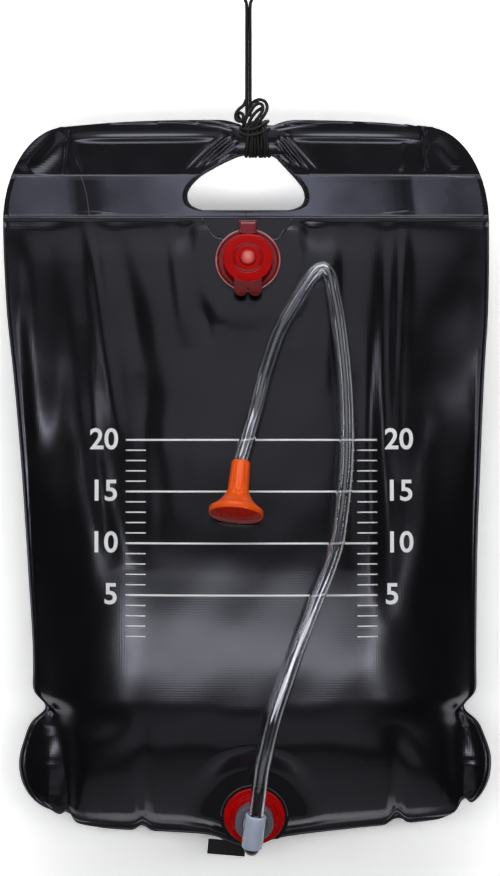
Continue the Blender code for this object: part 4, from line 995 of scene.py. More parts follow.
FILLER_FRAME = placed(FILLER_PLACE, FILLER_TILT)
OUTLET_FRAME = placed(OUTLET_PLACE, -OUTLET_TILT)
SWIVEL_FRAME = OUTLET_FRAME @ Matrix.Rotation(ELBOW_TURN, 4, "Z")
BARREL_FRAME = (
    SWIVEL_FRAME @ Matrix.Translation((0, 0, ELBOW_REACH)) @ Matrix.Rotation(-math.pi / 2, 4, "X")
)
SPRAY_FRAME = Matrix.Translation(SPRAY_PLACE) @ (
    Euler((-SPRAY_TILT, 0, 0)).to_matrix() @ Euler((0, SPRAY_LEAN, 0)).to_matrix()
).to_4x4()


# Materials


class Tree:
    """A node tree, with short ways to add its nodes and link them."""

    def __init__(self, tree):
        self.nodes, self.links = tree.nodes, tree.links

    def put(self, socket, value):
        if isinstance(value, bpy.types.NodeSocket):
            self.links.new(value, socket)
        else:
            socket.default_value = value

    def new(self, kind, values=None, **settings):
        made = self.nodes.new("ShaderNode" + kind)
        for name, value in settings.items():
            setattr(made, name, value)
        for name, value in (values or {}).items():
            self.put(made.inputs[name], value)
        return made

    def math(self, kind, *values):
        return self.new("Math", dict(enumerate(values)), operation=kind).outputs["Value"]

    def along(self, axis, space="Object"):
        split = self.new("SeparateXYZ", {"Vector": self.new("TexCoord").outputs[space]})
        return split.outputs[axis]

    def noise(self, scale, detail):
        coords = self.new("TexCoord").outputs["Object"]
        return self.new("TexNoise", {"Vector": coords, "Scale": scale, "Detail": detail}).outputs["Fac"]

    def ramp(self, source, low, high, start=0.0, end=1.0, **settings):
        values = {"Value": source, "From Min": start, "From Max": end, "To Min": low, "To Max": high}
        return self.new("MapRange", values, **settings).outputs["Result"]

    def tint(self, source, first, second):
        values = {"Factor": source, "A": (*first, 1), "B": (*second, 1)}
        return self.new("Mix", values, data_type="RGBA").outputs["Result"]


class Finish(Tree):
    """A material being made round its own shader."""

    def __init__(self, name, **values):
        self.made = bpy.data.materials.new(name)
        self.made.use_nodes = True
        super().__init__(self.made.node_tree)
        self.shader = self.nodes["Principled BSDF"]
        for key, value in values.items():
            self.set(key.replace("_", " "), value)

    def set(self, name, value):
        self.put(self.shader.inputs[name], value)

    def bump(self, source, distance, strength):
        made = self.new("Bump", {"Strength": strength, "Distance": distance, "Height": source})
        self.set("Normal", made.outputs["Normal"])


def film_material(name, dark, light, roughness):
    """Black film: clouded colour, uneven gloss, and the fine threads of the cloth inside it."""
    made = Finish(name, **FILM_GLOSS)
    made.set("Base Color", made.tint(made.noise(*FILM_CLOUD), dark, light))
    smear = made.noise(*FILM_SMEAR)
    made.set("Roughness", made.ramp(smear, roughness - GLOSS_SPREAD, roughness + GLOSS_SPREAD))
    turns = [made.math("MULTIPLY", made.along(axis), math.tau / THREAD_PITCH) for axis in "XZ"]
    waves = [made.math("SINE", turn) for turn in turns]
    threads = made.math("MULTIPLY", made.math("ADD", *waves), THREAD_SHARE)
    made.bump(made.math("ADD", threads, made.noise(*FILM_DENTS)), DENT_DEPTH, FILM_BUMP)
    return made.made


def band_material():
    """The band's film: painted sheen lightens its colour in bands across it, and it is rougher where that
    painted sheen is light and glossy where it is pulled tight beside the creases.
    """
    made = Finish("band_film", **FILM_GLOSS)
    middle = BAND_HEIGHT / 2 - HEADER_HEIGHT - BAG_DROP
    slanted = made.math("MULTIPLY", made.math("SUBTRACT", made.along("Z"), middle), BAND_SLANT)
    across = made.math("ADD", made.along("X"), slanted)
    painted_sheen = made.new("ValToRGB", {"Fac": made.ramp(across, 0.0, 1.0, -BAG_WIDTH / 2, BAG_WIDTH / 2)})
    marks = painted_sheen.color_ramp.elements
    while len(marks) < len(BAND_SHEEN_SHARES):
        marks.new(0.5)
    for mark, (share, value) in zip(marks, BAND_SHEEN_SHARES):
        mark.position = share
        mark.color = (value, value, value, 1)
    patches = made.ramp(made.noise(*BAND_CLOUD), *BAND_PATCHES)
    painted_sheen_and_roughness = made.math("MULTIPLY", painted_sheen.outputs["Color"], patches)
    # The lighter colour is painted sheen; the roughness follows the same share
    made.set("Base Color", made.tint(painted_sheen_and_roughness, BAND_DARK, BAND_SHEEN_TINT))
    made.set("Roughness", made.ramp(painted_sheen_and_roughness, *BAND_ROUGHNESS))
    made.bump(made.noise(*FILM_DENTS), DENT_DEPTH, PLASTIC_BUMP)
    return made.made


def plastic(name, first, second, roughness, values):
    """Moulded plastic: slight clouding of its colour, uneven gloss and a fine skin."""
    made = Finish(name, Roughness=roughness, **values)
    made.set("Base Color", made.tint(made.noise(*PLASTIC_CLOUD), first, second))
    low = max(roughness - GLOSS_SPREAD, PLASTIC_SMOOTHEST)
    made.set("Roughness", made.ramp(made.noise(*PLASTIC_SMEAR), low, roughness + PLASTIC_SPREAD))
    made.bump(made.noise(*PLASTIC_SKIN), PLASTIC_GRAIN, PLASTIC_BUMP)
    return made.made


def clear_material():
    """Clear soft plastic with a slight violet tint and faint clouding."""
    made = Finish("clear_hose", **CLEAR_GLOSS)
    made.set("Base Color", made.tint(made.noise(*CLEAR_CLOUD), *CLEAR_TINTS))
    made.set("Roughness", made.ramp(made.noise(*CLEAR_SMEAR), *CLEAR_ROUGHNESS))
    return made.made


def dome_material(top):
    """The cap's dome: a painted highlight, pale pink round its top in patches, fading to red at its edge."""
    made = Finish("dome_painted_highlight_plastic", **DOME_GLOSS)
    coords = made.new("TexCoord").outputs["Object"]
    gap = made.new("VectorMath", {0: coords, 1: top}, operation="DISTANCE").outputs["Value"]
    near = made.ramp(gap, 1.0, 0.0, 0.0, DOME_RADIUS, interpolation_type="SMOOTHSTEP")
    painted_highlight = made.math("MULTIPLY", near, made.ramp(made.noise(*DOME_CLOUD), *DOME_PATCHES))
    made.set("Base Color", made.tint(painted_highlight, *DOME_RED_AND_HIGHLIGHT))
    made.set("Roughness", made.ramp(made.noise(*PLASTIC_SMEAR), *DOME_ROUGHNESS))
    return made.made


def braid_material():
    """Braided cord: fine fibres in colour and height."""
    made = Finish("braided_cord", **CORD_GLOSS)
    fibre = made.noise(*CORD_FIBRE)
    made.set("Base Color", made.tint(fibre, *CORD_TINTS))
    made.bump(fibre, CORD_GRAIN, CORD_BUMP)
    return made.made


def finishes():
    made = {key: plastic(*values) for key, *values in PLASTICS}
    made["film"] = film_material("black_film", *FILM_TINTS, FILM_ROUGHNESS)
    made["back_film"] = film_material("black_back_film", *BACK_TINTS, BACK_ROUGHNESS)
    made["band"] = band_material()
    made["hose"] = clear_material()
    made["cord"] = braid_material()
    return made


# Camera first


def make_camera():
    data = bpy.data.cameras.new("camera")
    data.lens = CAMERA_LENS
    data.sensor_width = SENSOR
    camera = bpy.data.objects.new("camera", data)
    camera.location = CAMERA_PLACE
    camera.rotation_euler = (math.pi / 2, 0, 0)
    bpy.context.scene.collection.objects.link(camera)
    bpy.context.scene.camera = camera


# Hose


def hose_points():
    """Straight off the barb, along the route, and straight onto the stem."""
    start = ELBOW_TOP + FIT_GAP
    foot = STEM_COLLAR_LENGTH + 2 * FIT_GAP - LAND_DEPTH
    first = [BARREL_FRAME @ Vector((0, 0, start + BARB_LENGTH * share)) for share in STRAIGHT_SHARES]
    heights = [HOSE_LEAD + (foot - HOSE_LEAD) * share for share in STRAIGHT_SHARES]
    last = [SPRAY_FRAME @ Vector((0, 0, height)) for height in heights]
    return smooth_route([*first, *HOSE_ROUTE, *last], HOSE_SPACING)


def make_hose(finish):
    points = hose_points()
    mesh = hollow_tube("hose_tube", points, HOSE_DIAMETER / 2, HOSE_BORE / 2, HOSE_SIDES)
    made = add("hose_tube", mesh, finish, None, ("hose",))
    low, high = points[0].copy(), points[0].copy()
    low.z, high.z = HOSE_BEND_START, HOSE_BEND_END
    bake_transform(made)
    return made, points


# Cord


def braid(run, angle):
    """The cord's strands cross each other both ways round it."""
    one = math.sin(BRAID_STRANDS * angle + math.tau * run / BRAID_PITCH)
    other = math.sin(BRAID_STRANDS * angle - math.tau * run / BRAID_PITCH)
    return CORD_DIAMETER / 2 - BRAID_DEPTH + BRAID_DEPTH * max(one, other)


def loop_points():
    half = CORD_SPACING / 2
    wide = LOOP_WIDTH / 2 + CORD_DIAMETER / 2
    throat, crown = -LOOP_LENGTH - CORD_DIAMETER, -wide + CORD_DIAMETER / 2
    up = [(-half, throat + (-CORD_FOOT - throat) * (1 - share)) for share in STRAIGHT_SHARES]
    up += [(-half - (wide - half) * share, throat + (crown - throat) * rise) for share, rise in LOOP_SHARES]
    turns = [math.pi * k / LOOP_STEPS for k in range(LOOP_STEPS + 1)]
    over = [(-wide * math.cos(turn), crown + wide * math.sin(turn)) for turn in turns]
    down = [(-x, z) for x, z in reversed(up)]
    return smooth_route([(CORD_X + x, 0, z) for x, z in up + over + down], CORD_STEP)


def hitch_points():
    """Turns round the gathered bar, drawn together at its top and lying in two layers."""
    top, foot = BAG_TOP - PINCH_DIP, slot_top()
    middle = (top + foot) / 2
    tall = (top - foot) / 2 + FIT_GAP + CORD_DIAMETER / 2
    deep = film_offset(0) + PINCH_BULGE + CORD_DIAMETER / 2
    points = []
    for step in range(HITCH_STEPS * HITCH_TURNS + 1):
        turns = step / HITCH_STEPS
        angle = math.tau * turns
        height = (1 + math.cos(angle)) / 2
        across = (turns - HITCH_TURNS / 2) * HITCH_PITCH * (1 - (1 - HITCH_NARROW) * height)
        across += HITCH_SLANT * math.sin(turns * turns)
        layer = HITCH_LAYER * (1 + math.cos(math.pi * turns)) / 2
        points.append((
            PINCH_X + across, -(deep + layer) * math.sin(angle),
            middle + (tall + layer / 2) * math.cos(angle),
        ))
    return points


def make_knot(finish):
    """The knot: its strands are tubes of the same braid, in one piece."""
    whole = bmesh.new()
    for k, line in enumerate(KNOT_STRANDS):
        whole.from_mesh(tube(f"strand_{k}", smooth_route(metres(line), CORD_STEP), braid, CORD_SIDES))
    return add("cord_knot", mesh_of(whole, "cord_knot"), finish, "bag", ("rope_knot",))


def make_cord(finish):
    hitch = tube("cord_hitch", hitch_points(), braid, CORD_SIDES)
    hitch = add("cord_hitch", hitch, finish, "bag", ("rope_hitch",))
    knot = make_knot(finish)
    line = loop_points()
    loop = tube("cord_loop", line, braid, CORD_SIDES)
    loop = add("cord_loop", loop, finish, "bag", ("hanging_rope",))


# Film


def grid_levels(header_rows, body_rows):
    """Levels of the film's rows: even in the header and body, and closer at the foot."""
    top = header_level()
    header = [top * k / header_rows for k in range(header_rows)]
    shares = np.linspace(0, 1, body_rows + 1)
    body = top + (1 - top) * (shares + ROWS_DRAWN_DOWN * np.sin(math.pi * shares) * shares)
    return np.concatenate([header, np.minimum(body, 1)])


def grid_columns(count):
    inside = 1 - 2 * HEM / BAG_WIDTH
    middle = inside * np.linspace(-1, 1, count + 1)
    edge = np.array([1 - (1 - inside) * k / EDGE_COLUMNS for k in range(EDGE_COLUMNS)])
    return np.concatenate([-edge, middle, edge[::-1]])


def film_grid(columns, header_rows, body_rows, surface):
    u, level = np.meshgrid(grid_columns(columns), grid_levels(header_rows, body_rows))
    x, z = bag_point(u, level)
    return x, surface(u, level), z


def slot_outline():
    """The slot's outline in the front view, rounded between its corners."""
    low, left = BAG_TOP - SLOT_DROP, -SLOT_WIDTH / 2
    shares = SLOT_LEFT_SHARES + SLOT_RIGHT_SHARES
    corners = [(left + SLOT_WIDTH * x, low + SLOT_HEIGHT * y) for x, y in shares]
    half = hitch_half_width()
    corners = [(PINCH_X - half, slot_top()), *corners, (PINCH_X + half, slot_top())]
    return [(point.x, point.y) for point in round_corners(corners, SLOT_ROUND, True, OUTLINE_PART)]


def inside_outline(outline, x, z):
    """True where a point lies inside a closed outline."""
    corners = np.array(outline)
    inside = np.zeros(np.shape(x), bool)
    for (ax, az), (bx, bz) in zip(corners, np.roll(corners, -1, axis=0)):
        crosses = (az > z) != (bz > z)
        with np.errstate(divide="ignore", invalid="ignore"):
            reach = ax + (z - az) * (bx - ax) / (bz - az)
        inside ^= crosses & (x < reach)
    return inside


def draw_rim(grid, hole, outline):
    """Moves the corners beside a hole onto its outline."""
    x, z = grid[0].copy(), grid[2].copy()
    near = hole.copy()
    near[1:] |= hole[:-1]
    near[:-1] |= hole[1:]
    near[:, 1:] |= hole[:, :-1]
    near[:, :-1] |= hole[:, 1:]
    spots = np.array(outline)
    shares = np.arange(OUTLINE_STEPS)[:, None] / OUTLINE_STEPS
    sides = zip(spots, np.roll(spots, -1, axis=0))
    dense = np.concatenate([start + (end - start) * shares for start, end in sides])
    for place in zip(*np.nonzero(near & ~hole)):
        nearest = np.argmin((dense[:, 0] - x[place]) ** 2 + (dense[:, 1] - z[place]) ** 2)
        x[place], z[place] = dense[nearest]
    return x, z


def film_mesh(name, grid, outline):
    """The film's grid without the slot, its rim drawn onto the slot's outline."""
    hole = inside_outline(outline, grid[0], grid[2])
    x, z = draw_rim(grid, hole, outline)
    mesh = bpy.data.meshes.new(name)
    corners = np.stack([x.ravel(), grid[1].ravel(), z.ravel()], 1).tolist()
    mesh.from_pydata(corners, [], grid_faces(*hole.shape, hole))
    bm = bmesh.new()
    bm.from_mesh(mesh)
    bmesh.ops.delete(bm, geom=[vert for vert in bm.verts if not vert.link_faces], context="VERTS")
    bpy.data.meshes.remove(mesh)
    return mesh_of(bm, name)


def grid_faces(rows, columns, hole=None):
    """Faces of a grid of corners, apart from those that touch a hole."""
    index = np.arange(rows * columns).reshape(rows, columns)
    corners = np.stack([index[:-1, :-1], index[1:, :-1], index[1:, 1:], index[:-1, 1:]], -1)
    if hole is not None:
        corners = corners[~(hole[:-1, :-1] | hole[1:, :-1] | hole[1:, 1:] | hole[:-1, 1:])]
    return corners.reshape(-1, 4).tolist()


def thicken(made, thickness, offset=0):
    skin = made.modifiers.new("skin", "SOLIDIFY")
    skin.thickness = thickness
    skin.offset = offset
    return made


def make_film(finish):
    outline = slot_outline()
    front = film_grid(COLUMNS, HEADER_ROWS, BODY_ROWS, front_y)
    back = film_grid(BACK_COLUMNS, BACK_HEADER_ROWS, BACK_BODY_ROWS, back_y)
    for name, node, grid, key, offset in (
        ("front_film", "front_panel", front, "film", -1),
        ("back_film", "back_panel", back, "back_film", 1),
    ):
        made = add(name, film_mesh(name, grid, outline), finish[key], "bag", (node,))
        thicken(made, FILM, offset)
    return Surface(*front), outline


def strip_on(surface, name, xs, zs, lift, finish, replaced=(), thickness=BAND_THICKNESS):
    """A thin strip that follows the front film: a grid of places at a lift off it."""
    y = surface.depth(xs.ravel(), zs.ravel()) - lift
    corners = np.stack([xs.ravel(), y, zs.ravel()], 1).tolist()
    made = add(name, mesh_from(name, corners, grid_faces(*xs.shape), None), finish, "bag", replaced)
    return thicken(made, thickness)


def side_at(height, sign):
    """Where the side edge is at a height."""
    levels = np.linspace(0, 1, EDGE_SAMPLES)
    _, z = bag_point(np.full(EDGE_SAMPLES, float(sign)), levels)
    level = np.interp(-height, -z, levels)
    x, _ = bag_point(np.array([float(sign)]), np.array([level]))
    return float(x[0])


def slot_reach(outline, height, sign):
    """How far the slot and its weld reach to one side at a height, or 0 away from the slot."""
    reaches = []
    for (ax, az), (bx, bz) in zip(outline, outline[1:] + outline[:1]):
        if (az > height) != (bz > height):
            reaches.append(sign * (ax + (height - az) * (bx - ax) / (bz - az)))
    return max(reaches) + SLOT_WELD_REACH if reaches else 0


def make_band(surface, finish, outline):
    """The strip between the weld lines, lighter with painted sheen, in two halves that meet below the slot.
    """
    foot = BAG_TOP - HEADER_HEIGHT
    heights = np.linspace(foot + BAND_HEIGHT, foot, BAND_ROWS)
    share = np.linspace(0, 1, BAND_COLUMNS)
    for name, sign, replaced in (("band_left", -1, ("handle_band",)), ("band_right", 1, ())):
        outer = np.array([side_at(height, sign) - sign * HEM for height in heights])[:, None]
        inner = np.array([sign * slot_reach(outline, height, sign) for height in heights])[:, None]
        zs = np.repeat(heights[:, None], BAND_COLUMNS, 1)
        xs = outer + (inner - outer) * share
        strip_on(surface, name, xs, zs, BAND_LIFT, finish["band"], replaced)


def make_slot_rim(finish, outline):
    """The welded bead round the slot."""
    half = float(film_offset(np.array(0.0))) + RIM_LIP
    route = smooth_route([(x, 0, z) for x, z in outline + outline[:1]], WELD_STEP)
    mesh = tube("slot_rim", route, lambda run, angle: RIM_RADIUS, RIM_SIDES)
    for vert in mesh.vertices:
        vert.co.y *= half / RIM_RADIUS
    add("slot_rim", mesh, finish["rim"], "bag")


def bead(surface, name, line, finish, lift=0.0):
    """A fine raised weld line or crease that follows the front film, in a lighter grey than the film: painted
    sheen.
    """
    route = smooth_route([(x, 0, z) for x, z in line], WELD_STEP)
    xs, zs = np.array([spot.x for spot in route]), np.array([spot.z for spot in route])
    spots = [Vector(spot) for spot in zip(xs, surface.depth(xs, zs) - WELD_BEAD - lift, zs)]
    add(name, tube(name, spots, lambda run, angle: WELD_BEAD, RIM_SIDES), finish["weld"], "bag")


def grown(outline, reach):
    """The outline moved outwards by a reach."""
    spots = np.array(outline)
    way = np.roll(spots, -1, axis=0) - np.roll(spots, 1, axis=0)
    way /= np.hypot(*way.T)[:, None]
    side = np.stack([way[:, 1], -way[:, 0]], 1)
    middle = spots.mean(axis=0)
    outward = np.sign(((spots - middle) * side).sum(axis=1).mean())
    return spots + side * reach * outward


def make_welds(surface, finish, outline):
    for k, line in enumerate(WELD_ROUTES):
        bead(surface, f"weld_line_{k}", metres(line), finish)
    # The crease beads are painted highlights along the band's folds
    for k, line in enumerate(BAND_CREASE_HIGHLIGHTS):
        bead(surface, f"band_crease_highlight_{k}", metres(line), finish, BAND_THICKNESS)
    ring = grown(outline, SLOT_WELD_REACH)
    low = ring[ring[:, 1] < slot_top() - SLOT_WELD_DROP]
    order = np.argsort(np.arctan2(low[:, 0] - low[:, 0].mean(), slot_top() - low[:, 1]))
    bead(surface, "slot_weld", low[order], finish)


# Printed level scale


def make_marks(surface, finish):
    """Ticks and plain numbers, laid onto the front film."""
    lines = []
    for _, height in MARK_LEVELS:
        lines.append((MARK_LEFT, MARK_RIGHT, height))
        for k in range(1, MARKS_BETWEEN + 1):
            below = height - MARK_STEP * k
            lines.append((MARK_LEFT, MARK_LEFT + MARK_SHORT, below))
            lines.append((MARK_RIGHT - MARK_SHORT, MARK_RIGHT, below))
    for k, (left, right, height) in enumerate(lines):
        count = max(2, round((right - left) / MARK_CELL))
        half = MARK_LINE / 2 if right - left > 2 * MARK_SHORT else MARK_LINE / 3
        heights = np.array([height + half, height, height - half])
        xs, zs = np.meshgrid(np.linspace(left, right, count + 1), heights)
        name = f"level_mark_{k:02d}"
        strip_on(surface, name, xs, zs, MARK_LIFT, finish["print"], (), MARK_THICKNESS)
    for number, height in MARK_LEVELS:
        make_number(surface, finish, number, "left", MARK_LEFT - MARK_GAP, height)
        make_number(surface, finish, number, "right", MARK_RIGHT + MARK_GAP, height)


def number_mesh(number, side):
    """The number's flat shape, cut into cells small enough to follow the film."""
    curve = bpy.data.curves.new("number", "FONT")
    curve.body = str(number)
    curve.size = NUMBER_SIZE
    curve.align_x = "RIGHT" if side == "left" else "LEFT"
    curve.align_y = "CENTER"
    curve.resolution_u = NUMBER_STEPS
    curve.offset = NUMBER_WEIGHT
    holder = bpy.data.objects.new("number", curve)
    bpy.context.scene.collection.objects.link(holder)
    bpy.context.view_layer.update()
    bm = bmesh.new()
    bm.from_mesh(bpy.data.meshes.new_from_object(holder))
    bpy.data.objects.remove(holder, do_unlink=True)
    bmesh.ops.triangulate(bm, faces=bm.faces)
    for _ in range(NUMBER_CUTS):
        long = [edge for edge in bm.edges if edge.calc_length() > MARK_CELL]
        if long:
            bmesh.ops.subdivide_edges(bm, edges=long, cuts=1)
            bmesh.ops.triangulate(bm, faces=bm.faces)
    return bm


def make_number(surface, finish, number, side, x, height):
    bm = number_mesh(number, side)
    xs = np.array([x + vert.co.x for vert in bm.verts])
    zs = np.array([height + vert.co.y for vert in bm.verts])
    for vert, px, pz, depth in zip(bm.verts, xs, zs, surface.depth(xs, zs)):
        vert.co = (px, depth - MARK_LIFT, pz)
    name = f"level_number_{number:02d}_{side}"
    add(name, mesh_of(bm, name), finish["print"], "bag")


# Filler


def make_filler(finish):
    base, face = SEAT_BASE, SEAT_BASE + FLANGE_THICKNESS
    rim = face + NECK_HEIGHT
    outer = NECK_BORE + NECK_WALL
    flange = [
        (outer, rim), (outer, face), (FLANGE_RADIUS - 2 * FLANGE_LIP, face),
        (FLANGE_RADIUS - FLANGE_LIP, face + FLANGE_LIP / 2), (FLANGE_RADIUS, face), (FLANGE_RADIUS, base),
        (outer, base), (outer, -NECK_STUB), (NECK_BORE, -NECK_STUB), (NECK_BORE, rim),
    ]
    flange = rounded(flange, FLANGE_ROUND)
    lathe("filler_ring", flange, FILLER_FRAME, finish["clear_red"], "bag", ("filler_flange",))
    # The thin ring at the flange's edge is a paler red: a painted highlight
    ring = ring_profile(FLANGE_RADIUS - SKIN, face, FLANGE_RIM)
    lathe("filler_rim", ring, FILLER_FRAME, finish["pale_red"], "bag")
    make_cap(finish, rim + FIT_GAP)
    make_tab(finish, rim + 2 * FIT_GAP)
    make_strap(finish, rim + FIT_GAP)


def ring_profile(radius, height, thick):
    """Profile of a round ring."""
    turns = [math.tau * k / RIM_SIDES for k in range(RIM_SIDES)]
    return [(radius + thick * math.cos(turn), height + thick * math.sin(turn)) for turn in turns]


def make_cap(finish, base):
    """The cap with its hollow plug, and the dome and groove on its face."""
    face = base + CAP_THICKNESS
    turns = [math.pi / 2 * k / DOME_STEPS for k in range(DOME_STEPS)]
    dome = [(DOME_RADIUS * math.sin(turn), face + DOME_HEIGHT * math.cos(turn)) for turn in turns]
    tip, bore = PLUG_RADIUS - PLUG_TAPER, PLUG_RADIUS - PLUG_TAPER - PLUG_WALL
    edge = [
        (DOME_RADIUS, face), (GROOVE_RADIUS - GROOVE_WIDTH, face), (GROOVE_RADIUS, face - GROOVE_DEPTH),
        (GROOVE_RADIUS + GROOVE_WIDTH, face + GROOVE_DEPTH / 3), (CAP_RADIUS, face - GROOVE_DEPTH / 2),
        (CAP_RADIUS, base), (PLUG_RADIUS, base), (tip, base - PLUG_DEPTH), (bore, base - PLUG_DEPTH),
        (bore, base), (0, base),
    ]
    cup = [(radius, height + SKIN) for radius, height in dome]
    cup += [(radius, height - SKIN) for radius, height in reversed(cup)]
    # The dome's pale top is a painted highlight
    top = FILLER_FRAME @ Vector((0, 0, face + DOME_HEIGHT))
    lathe("cap_dome", cup, FILLER_FRAME, dome_material(top), "cap")
    # The bead in the groove is the darker red: painted shade in the groove
    groove = ring_profile(GROOVE_RADIUS, face - GROOVE_DEPTH, GROOVE_BEAD)
    lathe("cap_groove", groove, FILLER_FRAME, finish["deep_red"], "cap")
    disc = dome + rounded(edge, CAP_ROUND, closed=False)
    lathe("cap_disc", disc, FILLER_FRAME, finish["red"], "cap", ("filler_cap",))


def tab_outline():
    """Two round lobes with a notch between them, from above."""
    lobe = TAB_WIDTH / 4
    foot = -TAB_REACH + lobe

    def arc(middle, first, last):
        turns = [math.radians(angle) for angle in range(first, last, TAB_ARC_STEP)]
        return [(middle + lobe * math.cos(turn), foot + lobe * math.sin(turn)) for turn in turns]

    notch = (0, foot + TAB_NOTCH_RADIUS)
    ends = [(sign * 2 * lobe, -GROOVE_RADIUS) for sign in (-1, 1)]
    return [ends[0], *arc(-lobe, *TAB_ARCS[0]), notch, *arc(lobe, *TAB_ARCS[1]), ends[1]]


def make_tab(finish, low):
    bm = bmesh.new()
    flat = bm.faces.new([bm.verts.new((x, y, low)) for x, y in tab_outline()])
    lifted = bmesh.ops.extrude_face_region(bm, geom=[flat])
    moved = [part for part in lifted["geom"] if isinstance(part, bmesh.types.BMVert)]
    bmesh.ops.translate(bm, verts=moved, vec=(0, 0, TAB_THICKNESS))
    bmesh.ops.recalc_face_normals(bm, faces=bm.faces)
    bmesh.ops.bevel(
        bm, geom=bm.edges, offset=TAB_ROUND, segments=TAB_ROUND_STEPS, profile=TAB_ROUND_SHARE,
        affect="EDGES",
    )
    bm.transform(FILLER_FRAME)
    # The tab takes a darker red than the cap it belongs to: painted shade
    add("cap_tab", mesh_of(bm, "cap_tab", SHARP), finish["tab_red"], "cap")


def make_strap(finish, cap_base):
    """The tether: out from the flange, round its bend and back to the cap."""
    low, high = SEAT_BASE + STRAP_THICKNESS / 2, cap_base + STRAP_THICKNESS / 2
    radius = (high - low) / 2
    start, end = FLANGE_RADIUS + FIT_GAP, CAP_RADIUS + FIT_GAP
    turns = [math.pi * k / STRAP_BEND_STEPS for k in range(STRAP_BEND_STEPS + 1)]
    line = [(start + (STRAP_REACH - start) * share, low) for share in STRAIGHT_SHARES[:-1]]
    middle = low + radius
    line += [(STRAP_REACH + radius * math.sin(turn), middle - radius * math.cos(turn)) for turn in turns]
    line += [(STRAP_REACH + (end - STRAP_REACH) * k / STRAP_STEPS, high) for k in range(1, STRAP_STEPS + 1)]
    across = [(k / STRAP_STEPS - 0.5) * STRAP_WIDTH for k in range(STRAP_STEPS + 1)]
    corners = [FILLER_FRAME @ Vector((x, y, z)) for y, z in line for x in across]
    mesh = mesh_from("cap_tether", corners, grid_faces(len(line), len(across)), None)
    made = add("cap_tether", mesh, finish["tether_red"], None, ("cap_strap",))
    thicken(made, STRAP_THICKNESS)
    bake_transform(made)


# Outlet


def make_outlet(finish):
    base, face = SEAT_BASE, SEAT_BASE + OUTLET_THICKNESS
    outer = COLLAR_BORE + NECK_WALL
    boss = face + OUTLET_BOSS_HEIGHT
    flange = [
        (OUTLET_BOSS_RADIUS, boss), (OUTLET_BOSS_RADIUS + FLANGE_LIP, face),
        (OUTLET_RADIUS - FLANGE_LIP, face), (OUTLET_RADIUS, face - FLANGE_LIP / 2), (OUTLET_RADIUS, base),
        (outer, base), (outer, -OUTLET_STUB), (COLLAR_BORE, -OUTLET_STUB), (COLLAR_BORE, boss),
    ]
    flange = rounded(flange, OUTLET_ROUND)
    lathe("outlet_ring", flange, OUTLET_FRAME, finish["outlet_red"], "bag", ("outlet_flange",))
    turns = [math.tau * k / TURN_STEPS for k in range(TURN_STEPS // 2 + 1)]
    reach = OUTLET_WELD_RADIUS
    seam = [OUTLET_FRAME @ Vector((reach * math.cos(turn), reach * math.sin(turn), base)) for turn in turns]
    # The weld round the outlet's seat is a half ring of bead in the lighter grey: painted sheen
    mesh = tube("outlet_weld", seam, lambda run, angle: WELD_BEAD, RIM_SIDES)
    add("outlet_weld", mesh, finish["weld"], "bag")
    foot = boss + FIT_GAP
    top = foot + COLLAR_HEIGHT
    sleeve = [(COLLAR_RADIUS, top), (COLLAR_RADIUS, foot), (COLLAR_BORE, foot), (COLLAR_BORE, top)]
    sleeve, grey = rounded(sleeve, BARREL_ROUND), finish["clear_grey"]
    lathe("outlet_sleeve", sleeve, OUTLET_FRAME, grey, "bag", ("outlet_collar",))
    make_connector(finish)
    make_barb(finish)


def make_connector(finish):
    """The barrel, its spigot into the collar, and the plug in its lower end."""
    low, top = -ELBOW_BOTTOM, -ELBOW_BOTTOM - FIT_GAP
    barrel = [(ELBOW_RADIUS, ELBOW_TOP), (ELBOW_RADIUS, low), (ELBOW_BORE, low), (ELBOW_BORE, ELBOW_TOP)]
    barrel = rounded(barrel, BARREL_ROUND)
    lathe("connector_barrel", barrel, BARREL_FRAME, finish["milky"], "connector", ("elbow_body",))
    root, tip = -ELBOW_RADIUS * SPIGOT_ROOT_SHARE, -SPIGOT_LENGTH - ELBOW_RADIUS
    spigot = [(0, root), (SPIGOT_RADIUS, root), (SPIGOT_RADIUS, tip), (0, tip)]
    spigot = rounded(spigot, SPIGOT_ROUND, closed=False)
    place = SWIVEL_FRAME @ Matrix.Translation((0, 0, ELBOW_REACH))
    lathe("connector_spigot", spigot, place, finish["milky"], "connector")
    plug = [
        (0, top), (PLUG_CAP_RADIUS, top), (PLUG_CAP_RADIUS - BARB_STEP, top - PLUG_CAP_HEIGHT / 2),
        (PLUG_CAP_TIP, top - PLUG_CAP_HEIGHT), (0, top - PLUG_CAP_HEIGHT),
    ]
    plug = rounded(plug, PLUG_ROUND, closed=False)
    lathe("end_plug", plug, BARREL_FRAME, finish["black"], "connector", ("elbow_plug",))


def make_barb(finish):
    root = ELBOW_BORE - FIT_GAP
    low, high = ELBOW_TOP - BARB_DEPTH, ELBOW_TOP + BARB_LENGTH
    pitch = BARB_LENGTH / (BARBS + 1)
    profile = [(BARB_RADIUS - BARB_STEP, high)]
    for step in range(BARBS):
        level = high - pitch * (step + 1)
        profile += [(BARB_RADIUS, level + BARB_STEP), (BARB_RADIUS - BARB_STEP, level)]
    profile += [(root - BARB_STEP, ELBOW_TOP), (root, ELBOW_TOP - BARB_STEP), (root, low)]
    profile += [(root - BARB_WALL, low), (root - BARB_WALL, high)]
    profile = rounded(profile, BARB_ROUND)
    lathe("barb", profile, BARREL_FRAME, finish["black"], "connector", ("hose_barb",))


# Spray head


